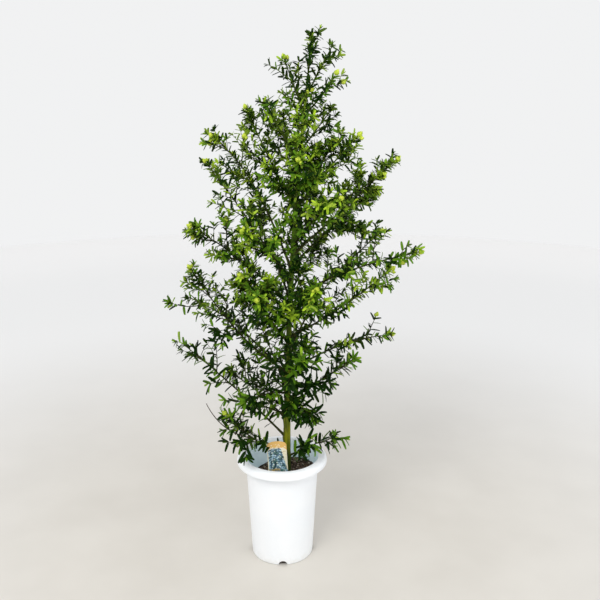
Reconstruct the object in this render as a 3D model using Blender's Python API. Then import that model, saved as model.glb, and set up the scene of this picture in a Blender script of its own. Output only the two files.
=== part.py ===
"""A potted california lilac: a slim young shrub, 1.19 m tall, in a white rolled-rim nursery pot.

Metres, +Z up. The origin is the middle of the pot's flat underside, and -Y is the front.

The plant is one upright trunk with limbs that leave it all the way up. A limb follows one
smooth line. Its inner share is a bare bough, and the rest is the stem of a mass of foliage,
which carries side shoots, and on them leaves and a few flower buds. Every size of a limb
stands in LIMBS. Shoots, leaves and buds follow from it by a seeded rule.
"""
import math
import random
from collections import namedtuple

import bmesh
import bpy
import numpy as np
from mathutils import Matrix, Quaternion, Vector
from mathutils.bvhtree import BVHTree

# Clearance between neighbouring solids
GAP = 0.0003

# Boolean solver for the joins
SOLVER = "EXACT"

# Edges that turn more than this are shaded sharp
SHARP = math.radians(30)

# Pot
POT_HEIGHT = 0.250
FOOT_RADIUS = 0.0719
NECK_RADIUS = 0.0845
NECK_HEIGHT = 0.2400
WALL = 0.0019
FLOOR = 0.0026
HEEL = 0.0030
HEEL_SHARE = 0.3
THROAT_FLARE = 0.0022
THROAT_DROP = 0.0042
CREST_RADIUS = 0.0902
RIM_RADIUS = 0.1050
RIM_SHOULDER = 0.2390
LIP_HEIGHT = 0.2330
RIM_WALL = 0.0020
LIP_EDGE = 0.0004
RIM_ARC_STEPS = 3
BROW_INSET = 0.0053
BROW_DROP = 0.0010
MOUTH_FLARE = 0.0012
MOUTH_DROP = 0.0050
POT_SIDES = 32
NOTCHES = 4
NOTCH_RADIUS = 0.0105
NOTCH_INNER = 0.0620
NOTCH_OUTER = 0.0820
NOTCH_TURN = 0.032
NOTCH_SIDES = 12

# Soil
SOIL_TOP = 0.1970

# Plant label
LABEL_WIDTH = 0.0450
LABEL_THICK = 0.0011
LABEL_SHOWN = 0.1000
LABEL_BURIED = 0.0300
LABEL_ARCH = 0.0080
LABEL_ARCH_STEPS = 6
LABEL_PLACE = (-0.0045, -0.0440)
LABEL_LEAN = math.radians(-3.4)
LABEL_TILT = math.radians(-6.0)

# Trunk
TRUNK_FOOT_X = 0.0105
TRUNK_LEAN = 0.0575
TRUNK_BOW = 0.0150
TRUNK_SWAY = 0.0040
PLANT_TOP = 1.1900
TRUNK_TOP = 1.0850
TRUNK_FOOT_RADIUS = 0.0064
TRUNK_MIDDLE_RADIUS = 0.0052
TRUNK_TOP_RADIUS = 0.0022
TRUNK_EVEN_SHARE = 0.75
FLARE = 0.0030
FLARE_HEIGHT = 0.0900
TRUNK_SIDES = 8
TRUNK_RINGS = 16
TRUNK_RINGS_LOW = 1.25

# Limbs
BOUGH_LEAST = 0.265
BOUGH_SIDES = 5
BOUGH_RINGS = 4
LIMB_FOOT_RADIUS = 0.0036
LIMB_LEAST_RADIUS = 0.0018
LIMB_TIP_RADIUS = 0.0010
LIMB_TAPER = 0.8
LIMB_FULL_REACH = 0.30
STEM_SIDES = 3
STEM_RINGS = 4
SAMPLES = 14
FOLIAGE_INNER = 0.14
FOLIAGE_INNER_PEAK = 0.05
FOLIAGE_PAST_BOUGH = 0.02

# Side shoots
SHOOT_SPACING = 0.058
SHOOT_LENGTH = 0.085
SHOOT_LAST = 0.92
SHOOT_TURN_VARIES = 0.4
SHOOT_VARIES = 0.15
LEAST_SHOOTS = 2
SHOOT_MOST_SHARE = 0.34
SHOOT_CUTS = (1.0, 0.75, 0.5)
SHOOT_DOWN_SHARE = 0.6
SHOOT_TIP_SHARE = 0.30
SHOOT_OPEN = math.radians(50)
SHOOT_LIFT = 0.25
SHOOT_FOOT_RADIUS = 0.0016
SHOOT_TIP_RADIUS = 0.0009
GOLDEN_TURN = math.radians(137.5)

# Leaves, larger than life because each stands for a spray of small ones
LEAF_LOW = 0.078
LEAF_HIGH = 0.055
LEAF_INNER_SHARE = 1.50
LEAF_TIP_SHARE = 0.62
LEAF_SHORT_LIMB = 0.72
LEAF_WIDTH_SHARE = 0.47
LEAF_THICK_SHARE = 0.050
LEAF_WIDEST = 0.42
TIP_ROOM = 0.024
LEAF_OPEN = math.radians(52)
LEAF_TIP_OPEN = math.radians(26)
LEAVES_A_SHOOT = 2
TIP_LEAVES = 2
STEM_TIP_LEAVES = 3
LEAFY_SHARE = 0.4
STEM_LEAF_SPACING = 0.055
LEAST_STEM_LEAVES = 2
TIP_LEAF_BACK = 0.0030
BUD_LEAF_BACK = 0.0100
TIP_LEAF_SPACING = 0.0045
TIP_OUTWARD = 0.6
ROOT_DEPTH = 0.0005

# Flower buds
BUD_LENGTH = 0.0135
BUD_RADIUS = 0.0046
BUD_SIDES = 4
BUD_RINGS = ((0.0, 0.35), (0.38, 1.0), (0.75, 0.72))
BUD_ROOT = 0.0010
BUD_SINK = 0.0030

# Space that a mass keeps to itself
SPACE_MARGIN = 0.0030
LIMB_CLEAR = 0.0040
FIT_CLEAR = 0.0006
TRIES = 8
TRY_TURN = 1.1
TRY_VARIES = 0.3
FACE_VARIES = 0.9
LEAF_LEAST = 0.85
LEAF_MOST = 1.12

# A limb leaves the trunk at a height, on a bearing in degrees from +X towards +Y, and runs
# out by its reach and up by its rise. Bow lifts its middle. Bare is the share with no shoots,
# and from BOUGH_LEAST up it is a solid of its own.
Limb = namedtuple("Limb", "name height bearing reach rise bow bare buds")
LIMBS = (
    Limb("low_left", 0.252, -162, 0.147, 0.121, -0.019, 0.00, 1),
    Limb("low_right", 0.241, -14, 0.120, 0.065, 0.004, 0.00, 0),
    Limb("low_long_left", 0.289, 173, 0.245, 0.225, 0.008, 0.32, 0),
    Limb("low_side_left", 0.345, -152, 0.165, 0.070, 0.010, 0.00, 0),
    Limb("low_inner_right", 0.359, -53, 0.106, 0.010, 0.016, 0.00, 0),
    Limb("low_mid_right", 0.379, -24, 0.170, 0.135, 0.000, 0.00, 0),
    Limb("low_inner_left", 0.400, -135, 0.140, 0.015, 0.010, 0.00, 0),
    Limb("low_back", 0.396, 111, 0.206, 0.114, 0.009, 0.00, 0),
    Limb("low_front", 0.418, -79, 0.182, 0.125, 0.011, 0.00, 0),
    Limb("far_left", 0.438, 156, 0.270, 0.165, 0.028, 0.30, 0),
    Limb("lower_left", 0.450, -164, 0.216, 0.262, -0.030, 0.28, 1),
    Limb("lower_right", 0.452, 14, 0.250, 0.070, 0.018, 0.25, 2),
    Limb("lower_back", 0.501, 62, 0.260, 0.129, 0.016, 0.30, 1),
    Limb("lower_front", 0.517, -105, 0.225, 0.165, 0.000, 0.28, 1),
    Limb("middle_right", 0.533, -19, 0.233, 0.179, -0.010, 0.25, 1),
    Limb("middle_front_right", 0.583, -75, 0.217, 0.118, 0.005, 0.00, 2),
    Limb("middle_inner_left", 0.601, -127, 0.167, 0.111, 0.000, 0.00, 1),
    Limb("right_back", 0.603, 27, 0.236, 0.154, -0.007, 0.26, 2),
    Limb("left_front", 0.610, -154, 0.225, 0.195, 0.015, 0.27, 3),
    Limb("middle_back", 0.622, 112, 0.265, 0.165, 0.010, 0.28, 1),
    Limb("far_right", 0.628, -28, 0.298, 0.133, 0.013, 0.30, 2),
    Limb("left_back", 0.652, 161, 0.200, 0.267, 0.011, 0.26, 1),
    Limb("middle_front_left", 0.667, -114, 0.226, 0.148, 0.013, 0.28, 1),
    Limb("left_upper", 0.690, -171, 0.165, 0.290, 0.045, 0.27, 3),
    Limb("right_behind", 0.698, 34, 0.234, 0.146, 0.012, 0.26, 2),
    Limb("right_upper", 0.724, 4, 0.225, 0.207, -0.001, 0.24, 3),
    Limb("upper_back", 0.733, 74, 0.199, 0.163, 0.004, 0.00, 1),
    Limb("upper_front", 0.745, -62, 0.200, 0.130, 0.010, 0.00, 1),
    Limb("high_front", 0.812, -88, 0.165, 0.135, 0.006, 0.00, 1),
    Limb("high_left", 0.822, 147, 0.130, 0.214, -0.006, 0.00, 1),
    Limb("high_right", 0.824, -36, 0.157, 0.165, 0.005, 0.00, 1),
    Limb("high_back", 0.840, 104, 0.150, 0.155, 0.006, 0.00, 1),
    Limb("crest_left", 0.918, -147, 0.095, 0.139, 0.005, 0.00, 0),
    Limb("crest_front", 0.930, -92, 0.095, 0.105, 0.004, 0.00, 0),
    Limb("crest_right", 0.949, 35, 0.090, 0.092, 0.000, 0.00, 0),
    Limb("crest_back", 0.961, 89, 0.100, 0.103, -0.001, 0.00, 0),
    Limb("tip_right", 1.023, -27, 0.074, 0.085, -0.008, 0.00, 3),
    Limb("tip_left", 1.027, 150, 0.050, 0.112, -0.005, 0.00, 0),
    Limb("peak_right", 1.057, 10, 0.060, 0.111, 0.001, 0.00, 0),
    Limb("crest_middle_right", 0.866, -20, 0.088, 0.105, -0.002, 0.00, 1),
    Limb("inner_right_back", 0.635, 41, 0.100, 0.119, 0.011, 0.00, 0),
    Limb("inner_right_front", 0.467, -59, 0.091, 0.071, 0.009, 0.00, 0),
    Limb("inner_left_front", 0.561, -158, 0.129, 0.109, 0.006, 0.00, 0),
    Limb("low_inner_back", 0.333, 163, 0.144, 0.104, 0.011, 0.00, 0),
    Limb("high_right_back", 0.764, 2, 0.192, 0.134, 0.006, 0.00, 1),
)
PEAK = Limb("peak", TRUNK_TOP + GAP, 10, 0.010, PLANT_TOP - TRUNK_TOP + 0.005, 0.000, 0.00, 1)


def finish(name, colour, roughness, metallic=0.0):
    """A Principled material in one colour."""
    material = bpy.data.materials.new(name)
    material.use_nodes = True
    shader = material.node_tree.nodes["Principled BSDF"]
    shader.inputs["Base Color"].default_value = (*colour, 1.0)
    shader.inputs["Roughness"].default_value = roughness
    shader.inputs["Metallic"].default_value = metallic
    material.diffuse_color = (*colour, 1.0)
    return material


def add_object(name, points, faces, material=None):
    mesh = bpy.data.meshes.new(name)
    mesh.from_pydata([tuple(point) for point in points], [], faces)
    mesh.update()
    thing = bpy.data.objects.new(name, mesh)
    bpy.context.scene.collection.objects.link(thing)
    if material:
        mesh.materials.append(material)
    return thing


def clear_scene():
    for thing in list(bpy.data.objects):
        bpy.data.objects.remove(thing, do_unlink=True)


def mix(low, high, share):
    return low + (high - low) * share


def bake_modifiers(thing):
    """The object's mesh becomes what its modifiers make of it."""
    graph = bpy.context.evaluated_depsgraph_get()
    graph.update()
    made = bpy.data.meshes.new_from_object(thing.evaluated_get(graph))
    thing.modifiers.clear()
    thing.data = made


def cut_away(thing, cutter):
    """Takes the cutter's shape out of the object."""
    cut = thing.modifiers.new("cut", "BOOLEAN")
    cut.operation = "DIFFERENCE"
    cut.object = cutter
    bake_modifiers(thing)


def tube(points, radii, sides):
    """A closed tube along the points: one ring a point, square to the line, and flat ends."""
    ahead = (points[1] - points[0]).normalized()
    across = ahead.orthogonal().normalized()
    corners = []
    for index, (point, radius) in enumerate(zip(points, radii)):
        before = points[max(index - 1, 0)]
        after = points[min(index + 1, len(points) - 1)]
        along = (after - before).normalized()
        across = ahead.rotation_difference(along) @ across
        ahead = along
        for side in range(sides):
            spin = Quaternion(ahead, math.tau * side / sides)
            corners.append(point + (spin @ across) * radius)
    faces = [tuple(reversed(range(sides)))]
    for ring in range(len(points) - 1):
        low = ring * sides
        for side in range(sides):
            after = (side + 1) % sides
            faces.append((low + side, low + after, low + sides + after, low + sides + side))
    faces.append(tuple(range(len(corners) - sides, len(corners))))
    return corners, faces


def turned(profile, sides):
    """A closed solid of revolution. The profile starts and ends on the axis, and its outside
    is on its right as it runs from the underside, up the outer side and back down inside."""
    corners = [Vector((0, 0, profile[0][1]))]
    for radius, height in profile[1:-1]:
        for side in range(sides):
            angle = math.tau * (side + 0.5) / sides
            corners.append(Vector((radius * math.cos(angle), radius * math.sin(angle), height)))
    corners.append(Vector((0, 0, profile[-1][1])))
    last = len(corners) - 1
    rings = len(profile) - 2
    faces = []
    for side in range(sides):
        after = (side + 1) % sides
        faces.append((0, 1 + after, 1 + side))
        for ring in range(rings - 1):
            low = 1 + ring * sides
            faces.append((low + side, low + after, low + sides + after, low + sides + side))
        low = 1 + (rings - 1) * sides
        faces.append((low + side, low + after, last))
    return corners, faces


def ellipse_arc(centre, across, up, steps):
    """Points of a quarter ellipse, from straight out of its centre to straight above it."""
    points = []
    for step in range(steps + 1):
        angle = math.pi / 2 * step / steps
        points.append((centre[0] + across * math.cos(angle), centre[1] + up * math.sin(angle)))
    return points


# Pot, soil and label
def wall_radius(height):
    """Outer radius of the pot's straight wall at a height."""
    return mix(FOOT_RADIUS, NECK_RADIUS, (height - HEEL) / (NECK_HEIGHT - HEEL))


def make_pot():
    """A thin tapered wall with a rolled rim: an arch that ends in a lip hanging clear of it."""
    rim_centre = (CREST_RADIUS, RIM_SHOULDER)
    rim_out = RIM_RADIUS - CREST_RADIUS
    rim_up = POT_HEIGHT - RIM_SHOULDER
    under = ellipse_arc(rim_centre, rim_out - RIM_WALL, rim_up - RIM_WALL, RIM_ARC_STEPS)
    over = ellipse_arc(rim_centre, rim_out, rim_up, RIM_ARC_STEPS)
    heel_facet = HEEL * HEEL_SHARE
    outside = [(0, 0), (FOOT_RADIUS - HEEL, 0), (FOOT_RADIUS - heel_facet, heel_facet)]
    outside += [(FOOT_RADIUS, HEEL), (NECK_RADIUS, NECK_HEIGHT)]
    outside += [(NECK_RADIUS + THROAT_FLARE, POT_HEIGHT - THROAT_DROP)]
    lip = [(RIM_RADIUS - RIM_WALL, LIP_HEIGHT), (RIM_RADIUS - LIP_EDGE, LIP_HEIGHT)]
    inside = [(CREST_RADIUS - BROW_INSET, POT_HEIGHT - BROW_DROP)]
    inside += [(NECK_RADIUS - WALL + MOUTH_FLARE, POT_HEIGHT - MOUTH_DROP)]
    inside += [(NECK_RADIUS - WALL, NECK_HEIGHT)]
    inside += [(wall_radius(FLOOR + HEEL) - WALL, FLOOR + HEEL)]
    inside += [(FOOT_RADIUS - WALL - HEEL, FLOOR), (0, FLOOR)]
    profile = outside + under[::-1] + lip + over + inside
    plastic = finish("white plastic", (0.86, 0.89, 0.93), 0.35)
    pot = add_object("pot", *turned(profile, POT_SIDES), plastic)
    for index in range(NOTCHES):
        bearing = math.tau * index / NOTCHES - math.pi / 2 + NOTCH_TURN
        out = Vector((math.cos(bearing), math.sin(bearing), 0))
        ends = [out * NOTCH_INNER, out * NOTCH_OUTER]
        cutter = add_object("notch", *tube(ends, [NOTCH_RADIUS] * 2, NOTCH_SIDES))
        cut_away(pot, cutter)
        bpy.data.objects.remove(cutter, do_unlink=True)
    pot.data.shade_smooth()
    pot.data.set_sharp_from_angle(angle=SHARP)
    return pot


def label_shape(margin):
    """The label's thin plate with its arched top, leaning as it stands in the soil."""
    half = LABEL_WIDTH / 2 + margin
    top = LABEL_BURIED + LABEL_SHOWN
    outline = [(-half, -margin), (half, -margin)]
    for step in range(LABEL_ARCH_STEPS + 1):
        angle = math.pi * step / LABEL_ARCH_STEPS
        rise = LABEL_ARCH * math.sin(angle)
        outline.append((half * math.cos(angle), top - LABEL_ARCH + rise + margin))
    thick = LABEL_THICK / 2 + margin
    front = [Vector((x, -thick, z)) for x, z in outline]
    back = [Vector((x, thick, z)) for x, z in outline]
    count = len(outline)
    faces = [tuple(range(count)), tuple(reversed(range(count, 2 * count)))]
    for index in range(count):
        after = (index + 1) % count
        faces.append((index, index + count, after + count, after))
    place = Matrix.Translation((*LABEL_PLACE, SOIL_TOP - LABEL_BURIED))
    place = place @ Matrix.Rotation(LABEL_LEAN, 4, "Y") @ Matrix.Rotation(LABEL_TILT, 4, "X")
    return [place @ point for point in front + back], faces


def make_soil():
    """The potting mix: a plug clear of the pot's wall and floor, with a slot for the label."""
    profile = [(0, FLOOR + GAP), (FOOT_RADIUS - WALL - HEEL - GAP, FLOOR + GAP)]
    profile += [(wall_radius(FLOOR + HEEL) - WALL - 2 * GAP, FLOOR + HEEL)]
    profile += [(wall_radius(SOIL_TOP) - WALL - 2 * GAP, SOIL_TOP), (0, SOIL_TOP)]
    mix_brown = finish("potting mix", (0.10, 0.06, 0.04), 0.95)
    soil = add_object("soil", *turned(profile, POT_SIDES), mix_brown)
    slot = add_object("slot", *label_shape(GAP))
    cut_away(soil, slot)
    bpy.data.objects.remove(slot, do_unlink=True)
    return soil


def make_label():
    card = finish("printed card", (0.80, 0.74, 0.55), 0.5)
    return add_object("plant_label", *label_shape(0), card)


# Trunk
def trunk_axis(height):
    """Middle of the trunk at a height: a steady lean to the right less one long bow."""
    share = (height - SOIL_TOP) / (PLANT_TOP - SOIL_TOP)
    bow = TRUNK_BOW * math.sin(math.pi * min(max(share, 0), 1))
    sway = TRUNK_SWAY * math.sin(math.tau * share)
    return Vector((TRUNK_FOOT_X + TRUNK_LEAN * share - bow, sway, height))


def trunk_radius(height):
    """Slowly thinner to three quarters up, then quickly, with a flare at the foot."""
    share = (height - SOIL_TOP) / (TRUNK_TOP - SOIL_TOP)
    flare = FLARE * math.exp(-(height - SOIL_TOP) / FLARE_HEIGHT)
    if share < TRUNK_EVEN_SHARE:
        return mix(TRUNK_FOOT_RADIUS, TRUNK_MIDDLE_RADIUS, share / TRUNK_EVEN_SHARE) + flare
    rest = (share - TRUNK_EVEN_SHARE) / (1 - TRUNK_EVEN_SHARE)
    return mix(TRUNK_MIDDLE_RADIUS, TRUNK_TOP_RADIUS, rest) + flare


def trunk_tube(margin):
    """The trunk's skin, or one that stands off it by a margin, with rings closer low down."""
    foot = SOIL_TOP + GAP - margin
    shares = [(ring / TRUNK_RINGS) ** TRUNK_RINGS_LOW for ring in range(TRUNK_RINGS + 1)]
    heights = [mix(foot, TRUNK_TOP + margin, share) for share in shares]
    points = [trunk_axis(height) for height in heights]
    radii = [trunk_radius(height) + margin for height in heights]
    corners, faces = tube(points, radii, TRUNK_SIDES)
    # The foot is cut level
    for corner in corners[:TRUNK_SIDES]:
        corner.z = foot
    return corners, faces


# Limbs
def limb_point(limb, share):
    """Out along the limb's bearing, up by its rise, with its middle lifted by its bow."""
    bearing = math.radians(limb.bearing)
    foot = trunk_axis(limb.height)
    up = limb.rise * share + limb.bow * math.sin(math.pi * share)
    out = limb.reach * share
    return foot + Vector((out * math.cos(bearing), out * math.sin(bearing), up))


def limb_ahead(limb, share):
    return (limb_point(limb, share + 0.01) - limb_point(limb, share - 0.01)).normalized()


def limb_length(limb):
    return math.hypot(limb.reach, limb.rise)


def limb_radius(limb, share):
    vigour = min(limb_length(limb) / LIMB_FULL_REACH, 1)
    foot = mix(LIMB_LEAST_RADIUS, LIMB_FOOT_RADIUS, vigour)
    return mix(foot, LIMB_TIP_RADIUS, share ** LIMB_TAPER)


def limb_tube(limb, start, end, rings, sides):
    shares = [mix(start, end, ring / (rings - 1)) for ring in range(rings)]
    points = [limb_point(limb, share) for share in shares]
    return tube(points, [limb_radius(limb, share) for share in shares], sides)


def foliage_start(limb):
    """Share of a limb where its side shoots begin."""
    if limb is PEAK:
        return FOLIAGE_INNER_PEAK
    return max(limb.bare + FOLIAGE_PAST_BOUGH, FOLIAGE_INNER)


def has_bough(limb):
    """Whether the limb's bare share is a solid of its own."""
    return limb.bare >= BOUGH_LEAST


def stem_end(limb):
    """Share of a limb where its stem ends. The leaves at its tip cover the rest."""
    return 1 - TIP_ROOM / limb_length(limb)


Shoot = namedtuple("Shoot", "foot tip roll share")


def shoots_of(limb, owner, space):
    """Side shoots of a limb, spiralling round its stem, shorter towards its tip and turning up."""
    draw = random.Random(owner)
    start = foliage_start(limb)
    count = max(LEAST_SHOOTS, round(limb_length(limb) * (1 - start) / SHOOT_SPACING))
    shoots = []
    for index in range(count):
        share = mix(start, SHOOT_LAST * stem_end(limb), (index + 0.5) / count)
        ahead = limb_ahead(limb, share)
        side = ahead.cross(Vector((0, 0, 1)))
        turn = GOLDEN_TURN * index + draw.uniform(-SHOOT_TURN_VARIES, SHOOT_TURN_VARIES)
        around = Quaternion(ahead, turn) @ side.normalized()
        open_by = SHOOT_OPEN * draw.uniform(1 - SHOOT_VARIES, 1 + SHOOT_VARIES)
        heading = ahead * math.cos(open_by) + around * math.sin(open_by)
        vigour = draw.uniform(1 - SHOOT_VARIES, 1 + SHOOT_VARIES)
        length = SHOOT_LENGTH * mix(1, SHOOT_TIP_SHARE, share) * vigour
        length = min(length, SHOOT_MOST_SHARE * limb_length(limb))
        length *= 1 + SHOOT_DOWN_SHARE * min(heading.z, 0)
        foot = limb_point(limb, share)
        run = heading + Vector((0, 0, SHOOT_LIFT))
        for cut in SHOOT_CUTS:
            tip = foot + run * length * cut
            if space.holds(owner, [foot.lerp(tip, 0.5), tip]):
                shoots.append(Shoot(foot, tip, turn, share))
                break
    return shoots


# Leaves and buds
def leaf_length(limb, height, share):
    """Longer low down and near the trunk, shorter up high, at a limb's tip and on short limbs."""
    length = mix(LEAF_LOW, LEAF_HIGH, (height - POT_HEIGHT) / (PLANT_TOP - POT_HEIGHT))
    vigour = mix(LEAF_SHORT_LIMB, 1, min(limb_length(limb) / LIMB_FULL_REACH, 1))
    return length * vigour * mix(LEAF_INNER_SHARE, LEAF_TIP_SHARE, share)


def leaf_shape(foot, heading, face_up, length, margin=0.0):
    """A lance-shaped leaf of six faces: flat below, a ridge above, widest below its middle."""
    side = heading.cross(face_up).normalized()
    normal = side.cross(heading).normalized()
    middle = foot + heading * length * LEAF_WIDEST
    half_width = length * LEAF_WIDTH_SHARE / 2 + margin
    thick = length * LEAF_THICK_SHARE
    corners = [foot - heading * (ROOT_DEPTH + margin), foot + heading * (length + margin)]
    corners += [middle + side * half_width - normal * margin, middle + normal * (thick + margin)]
    corners += [middle - side * half_width - normal * margin]
    faces = []
    for index in range(3):
        here = 2 + index
        after = 2 + (index + 1) % 3
        faces += [(0, here, after), (1, after, here)]
    return corners, faces


def bud_shape(foot, heading):
    """A plump pointed bud, turned about its heading."""
    across = heading.orthogonal().normalized()
    corners = [foot - heading * BUD_ROOT]
    for along, swell in BUD_RINGS:
        for side in range(BUD_SIDES):
            spin = Quaternion(heading, math.tau * side / BUD_SIDES)
            out = (spin @ across) * BUD_RADIUS * swell
            corners.append(foot + heading * BUD_LENGTH * along + out)
    corners.append(foot + heading * BUD_LENGTH)
    last = len(corners) - 1
    faces = []
    for side in range(BUD_SIDES):
        after = (side + 1) % BUD_SIDES
        faces.append((0, 1 + after, 1 + side))
        for ring in range(len(BUD_RINGS) - 1):
            low = 1 + ring * BUD_SIDES
            high = low + BUD_SIDES
            faces.append((low + side, low + after, high + after, high + side))
        low = 1 + (len(BUD_RINGS) - 1) * BUD_SIDES
        faces.append((low + side, low + after, last))
    return corners, faces


# Space
def tree_of(shape):
    return BVHTree.FromPolygons([tuple(corner) for corner in shape[0]], shape[1])


def object_shape(thing):
    corners = [vertex.co.copy() for vertex in thing.data.vertices]
    return corners, [tuple(face.vertices) for face in thing.data.polygons]


def joined(shapes):
    corners, faces = [], []
    for more_corners, more_faces in shapes:
        base = len(corners)
        corners += more_corners
        faces += [tuple(base + index for index in face) for face in more_faces]
    return corners, faces


class Space:
    """What stands already, and how near every limb passes to a point."""

    def __init__(self, limbs, fixed):
        shares = [index / SAMPLES for index in range(SAMPLES + 1)]
        lines = [[limb_point(limb, share) for share in shares] for limb in limbs]
        self.starts = np.array([line[:-1] for line in lines])
        self.runs = np.array([line[1:] for line in lines]) - self.starts
        self.fixed = list(fixed)
        self.tree = None

    def settle(self):
        self.tree = tree_of(joined(self.fixed))

    def limb_distances(self, point):
        away = np.array(point) - self.starts
        along = (away * self.runs).sum(-1) / (self.runs ** 2).sum(-1)
        nearest = away - self.runs * np.clip(along, 0, 1)[..., None]
        return np.sqrt((nearest ** 2).sum(-1)).min(-1)

    def holds(self, owner, corners):
        """Whether every corner is nearer to its own limb than to any other, and off the trunk."""
        for corner in corners:
            distances = self.limb_distances(corner)
            own = distances[owner]
            distances[owner] = math.inf
            if own + SPACE_MARGIN > distances.min():
                return False
            level = min(corner.z, TRUNK_TOP)
            if (corner - trunk_axis(level)).length < trunk_radius(level) + LIMB_CLEAR:
                return False
        return True

    def clear(self, shape):
        return not self.tree.overlap(tree_of(shape))


def fuse(name, stem, pieces, material):
    """One solid from a stem and what grows on it."""
    thing = add_object(name, *stem, material)
    group = bpy.data.collections.new(name + " pieces")
    bpy.context.scene.collection.children.link(group)
    for index, (corners, faces) in enumerate(pieces):
        piece = add_object(f"piece {index}", corners, faces)
        bpy.context.scene.collection.objects.unlink(piece)
        group.objects.link(piece)
    join = thing.modifiers.new("join", "BOOLEAN")
    join.operation = "UNION"
    join.operand_type = "COLLECTION"
    join.collection = group
    join.solver = SOLVER
    bake_modifiers(thing)
    for piece in list(group.objects):
        bpy.data.objects.remove(piece, do_unlink=True)
    bpy.data.collections.remove(group)
    keep_largest(thing)
    return thing


def keep_largest(thing):
    """Drops loose scraps, and fills a hollow that the join sealed by dropping its skin."""
    shape = bmesh.new()
    shape.from_mesh(thing.data)
    shape.verts.ensure_lookup_table()
    left = set(shape.verts)
    islands = []
    while left:
        first = left.pop()
        island = {first}
        reached = [first]
        while reached:
            for edge in reached.pop().link_edges:
                for vertex in edge.verts:
                    if vertex in left:
                        left.discard(vertex)
                        island.add(vertex)
                        reached.append(vertex)
        islands.append(island)
    islands.sort(key=len)
    for island in islands[:-1]:
        bmesh.ops.delete(shape, geom=list(island), context="VERTS")
    shape.to_mesh(thing.data)
    shape.free()


def grow_mass(limb, owner, space, clearance, leaf_green):
    """The stem beyond a limb's bough, its shoots, their leaves, and buds at the outermost tips."""
    start = limb.bare + GAP / limb_length(limb) if has_bough(limb) else 0.0
    stem = limb_tube(limb, start, stem_end(limb), STEM_RINGS, STEM_SIDES)
    if not has_bough(limb) and limb is not PEAK:
        rough = add_object("rough", *stem)
        cut_away(rough, clearance)
        stem = object_shape(rough)
        bpy.data.objects.remove(rough, do_unlink=True)
    pieces = []
    own_trees = [tree_of(stem)]
    draw = random.Random(1000 + owner)

    def place_leaf(foot, share, ahead, turn, open_by, parent):
        """Tries a few turns of one leaf about its twig, and keeps the first that has room."""
        length = leaf_length(limb, foot.z, share) * draw.uniform(LEAF_LEAST, LEAF_MOST)
        side = ahead.orthogonal().normalized()
        for attempt in range(TRIES):
            about = turn + attempt * TRY_TURN + draw.uniform(-TRY_VARIES, TRY_VARIES)
            around = Quaternion(ahead, about) @ side
            heading = (ahead * math.cos(open_by) + around * math.sin(open_by)).normalized()
            face_up = ahead + Vector([draw.uniform(-FACE_VARIES, FACE_VARIES) for _ in range(3)])
            shape = leaf_shape(foot, heading, face_up, length)
            if not space.holds(owner, shape[0][1:]):
                continue
            if not space.clear(leaf_shape(foot, heading, face_up, length, FIT_CLEAR)):
                continue
            tree = tree_of(shape)
            others = own_trees[:parent] + own_trees[parent + 1:]
            if any(other.overlap(tree) for other in others):
                continue
            pieces.append(shape)
            own_trees.append(tree)
            return

    def place_tip(point, share, ahead, count, parent, with_bud):
        """A bud if it has one, and a ring of leaves that lean out from the tip."""
        if with_bud:
            shape = bud_shape(point - ahead * BUD_SINK, ahead)
            if space.holds(owner, shape[0]) and space.clear(shape):
                pieces.append(shape)
                own_trees.append(tree_of(shape))
        back = BUD_LEAF_BACK if with_bud else TIP_LEAF_BACK
        open_by = LEAF_OPEN if with_bud else LEAF_TIP_OPEN
        for index in range(count):
            foot = point - ahead * (back + TIP_LEAF_SPACING * index)
            place_leaf(foot, share, ahead, math.tau * index / count, open_by, parent)

    end = stem_end(limb)
    tip = limb_point(limb, end)
    place_tip(tip, 1.0, limb_ahead(limb, end), STEM_TIP_LEAVES, 0, limb.buds > 0)
    shoots = shoots_of(limb, owner, space)
    for index, shoot in enumerate(shoots):
        foot_radius = min(SHOOT_FOOT_RADIUS, limb_radius(limb, shoot.share))
        shape = tube([shoot.foot, shoot.tip], [foot_radius, SHOOT_TIP_RADIUS], STEM_SIDES)
        if not space.clear(shape):
            continue
        tree = tree_of(shape)
        if any(other.overlap(tree) for other in own_trees[1:]):
            continue
        pieces.append(shape)
        own_trees.append(tree)
        parent = len(own_trees) - 1
        ahead = (shoot.tip - shoot.foot).normalized()
        outward = mix(shoot.share, 1, TIP_OUTWARD)
        has_bud = len(shoots) - index < limb.buds
        place_tip(shoot.tip, outward, ahead, TIP_LEAVES, parent, has_bud)
        leaves = LEAVES_A_SHOOT if shoot.share < LEAFY_SHARE else 1
        for leaf in range(leaves):
            foot = shoot.foot.lerp(shoot.tip, (leaf + 1) / (leaves + 1))
            place_leaf(foot, shoot.share, ahead, shoot.roll + math.pi * leaf, LEAF_OPEN, parent)
    inner = foliage_start(limb)
    room = limb_length(limb) * (end - inner)
    count = max(LEAST_STEM_LEAVES, round(room / STEM_LEAF_SPACING))
    for index in range(count):
        share = mix(inner, end, (index + 0.3) / count)
        turn = GOLDEN_TURN * index + math.pi / 2
        place_leaf(limb_point(limb, share), share, limb_ahead(limb, share), turn, LEAF_OPEN, 0)
    return fuse("leaves_" + limb.name, stem, pieces, leaf_green)


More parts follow.
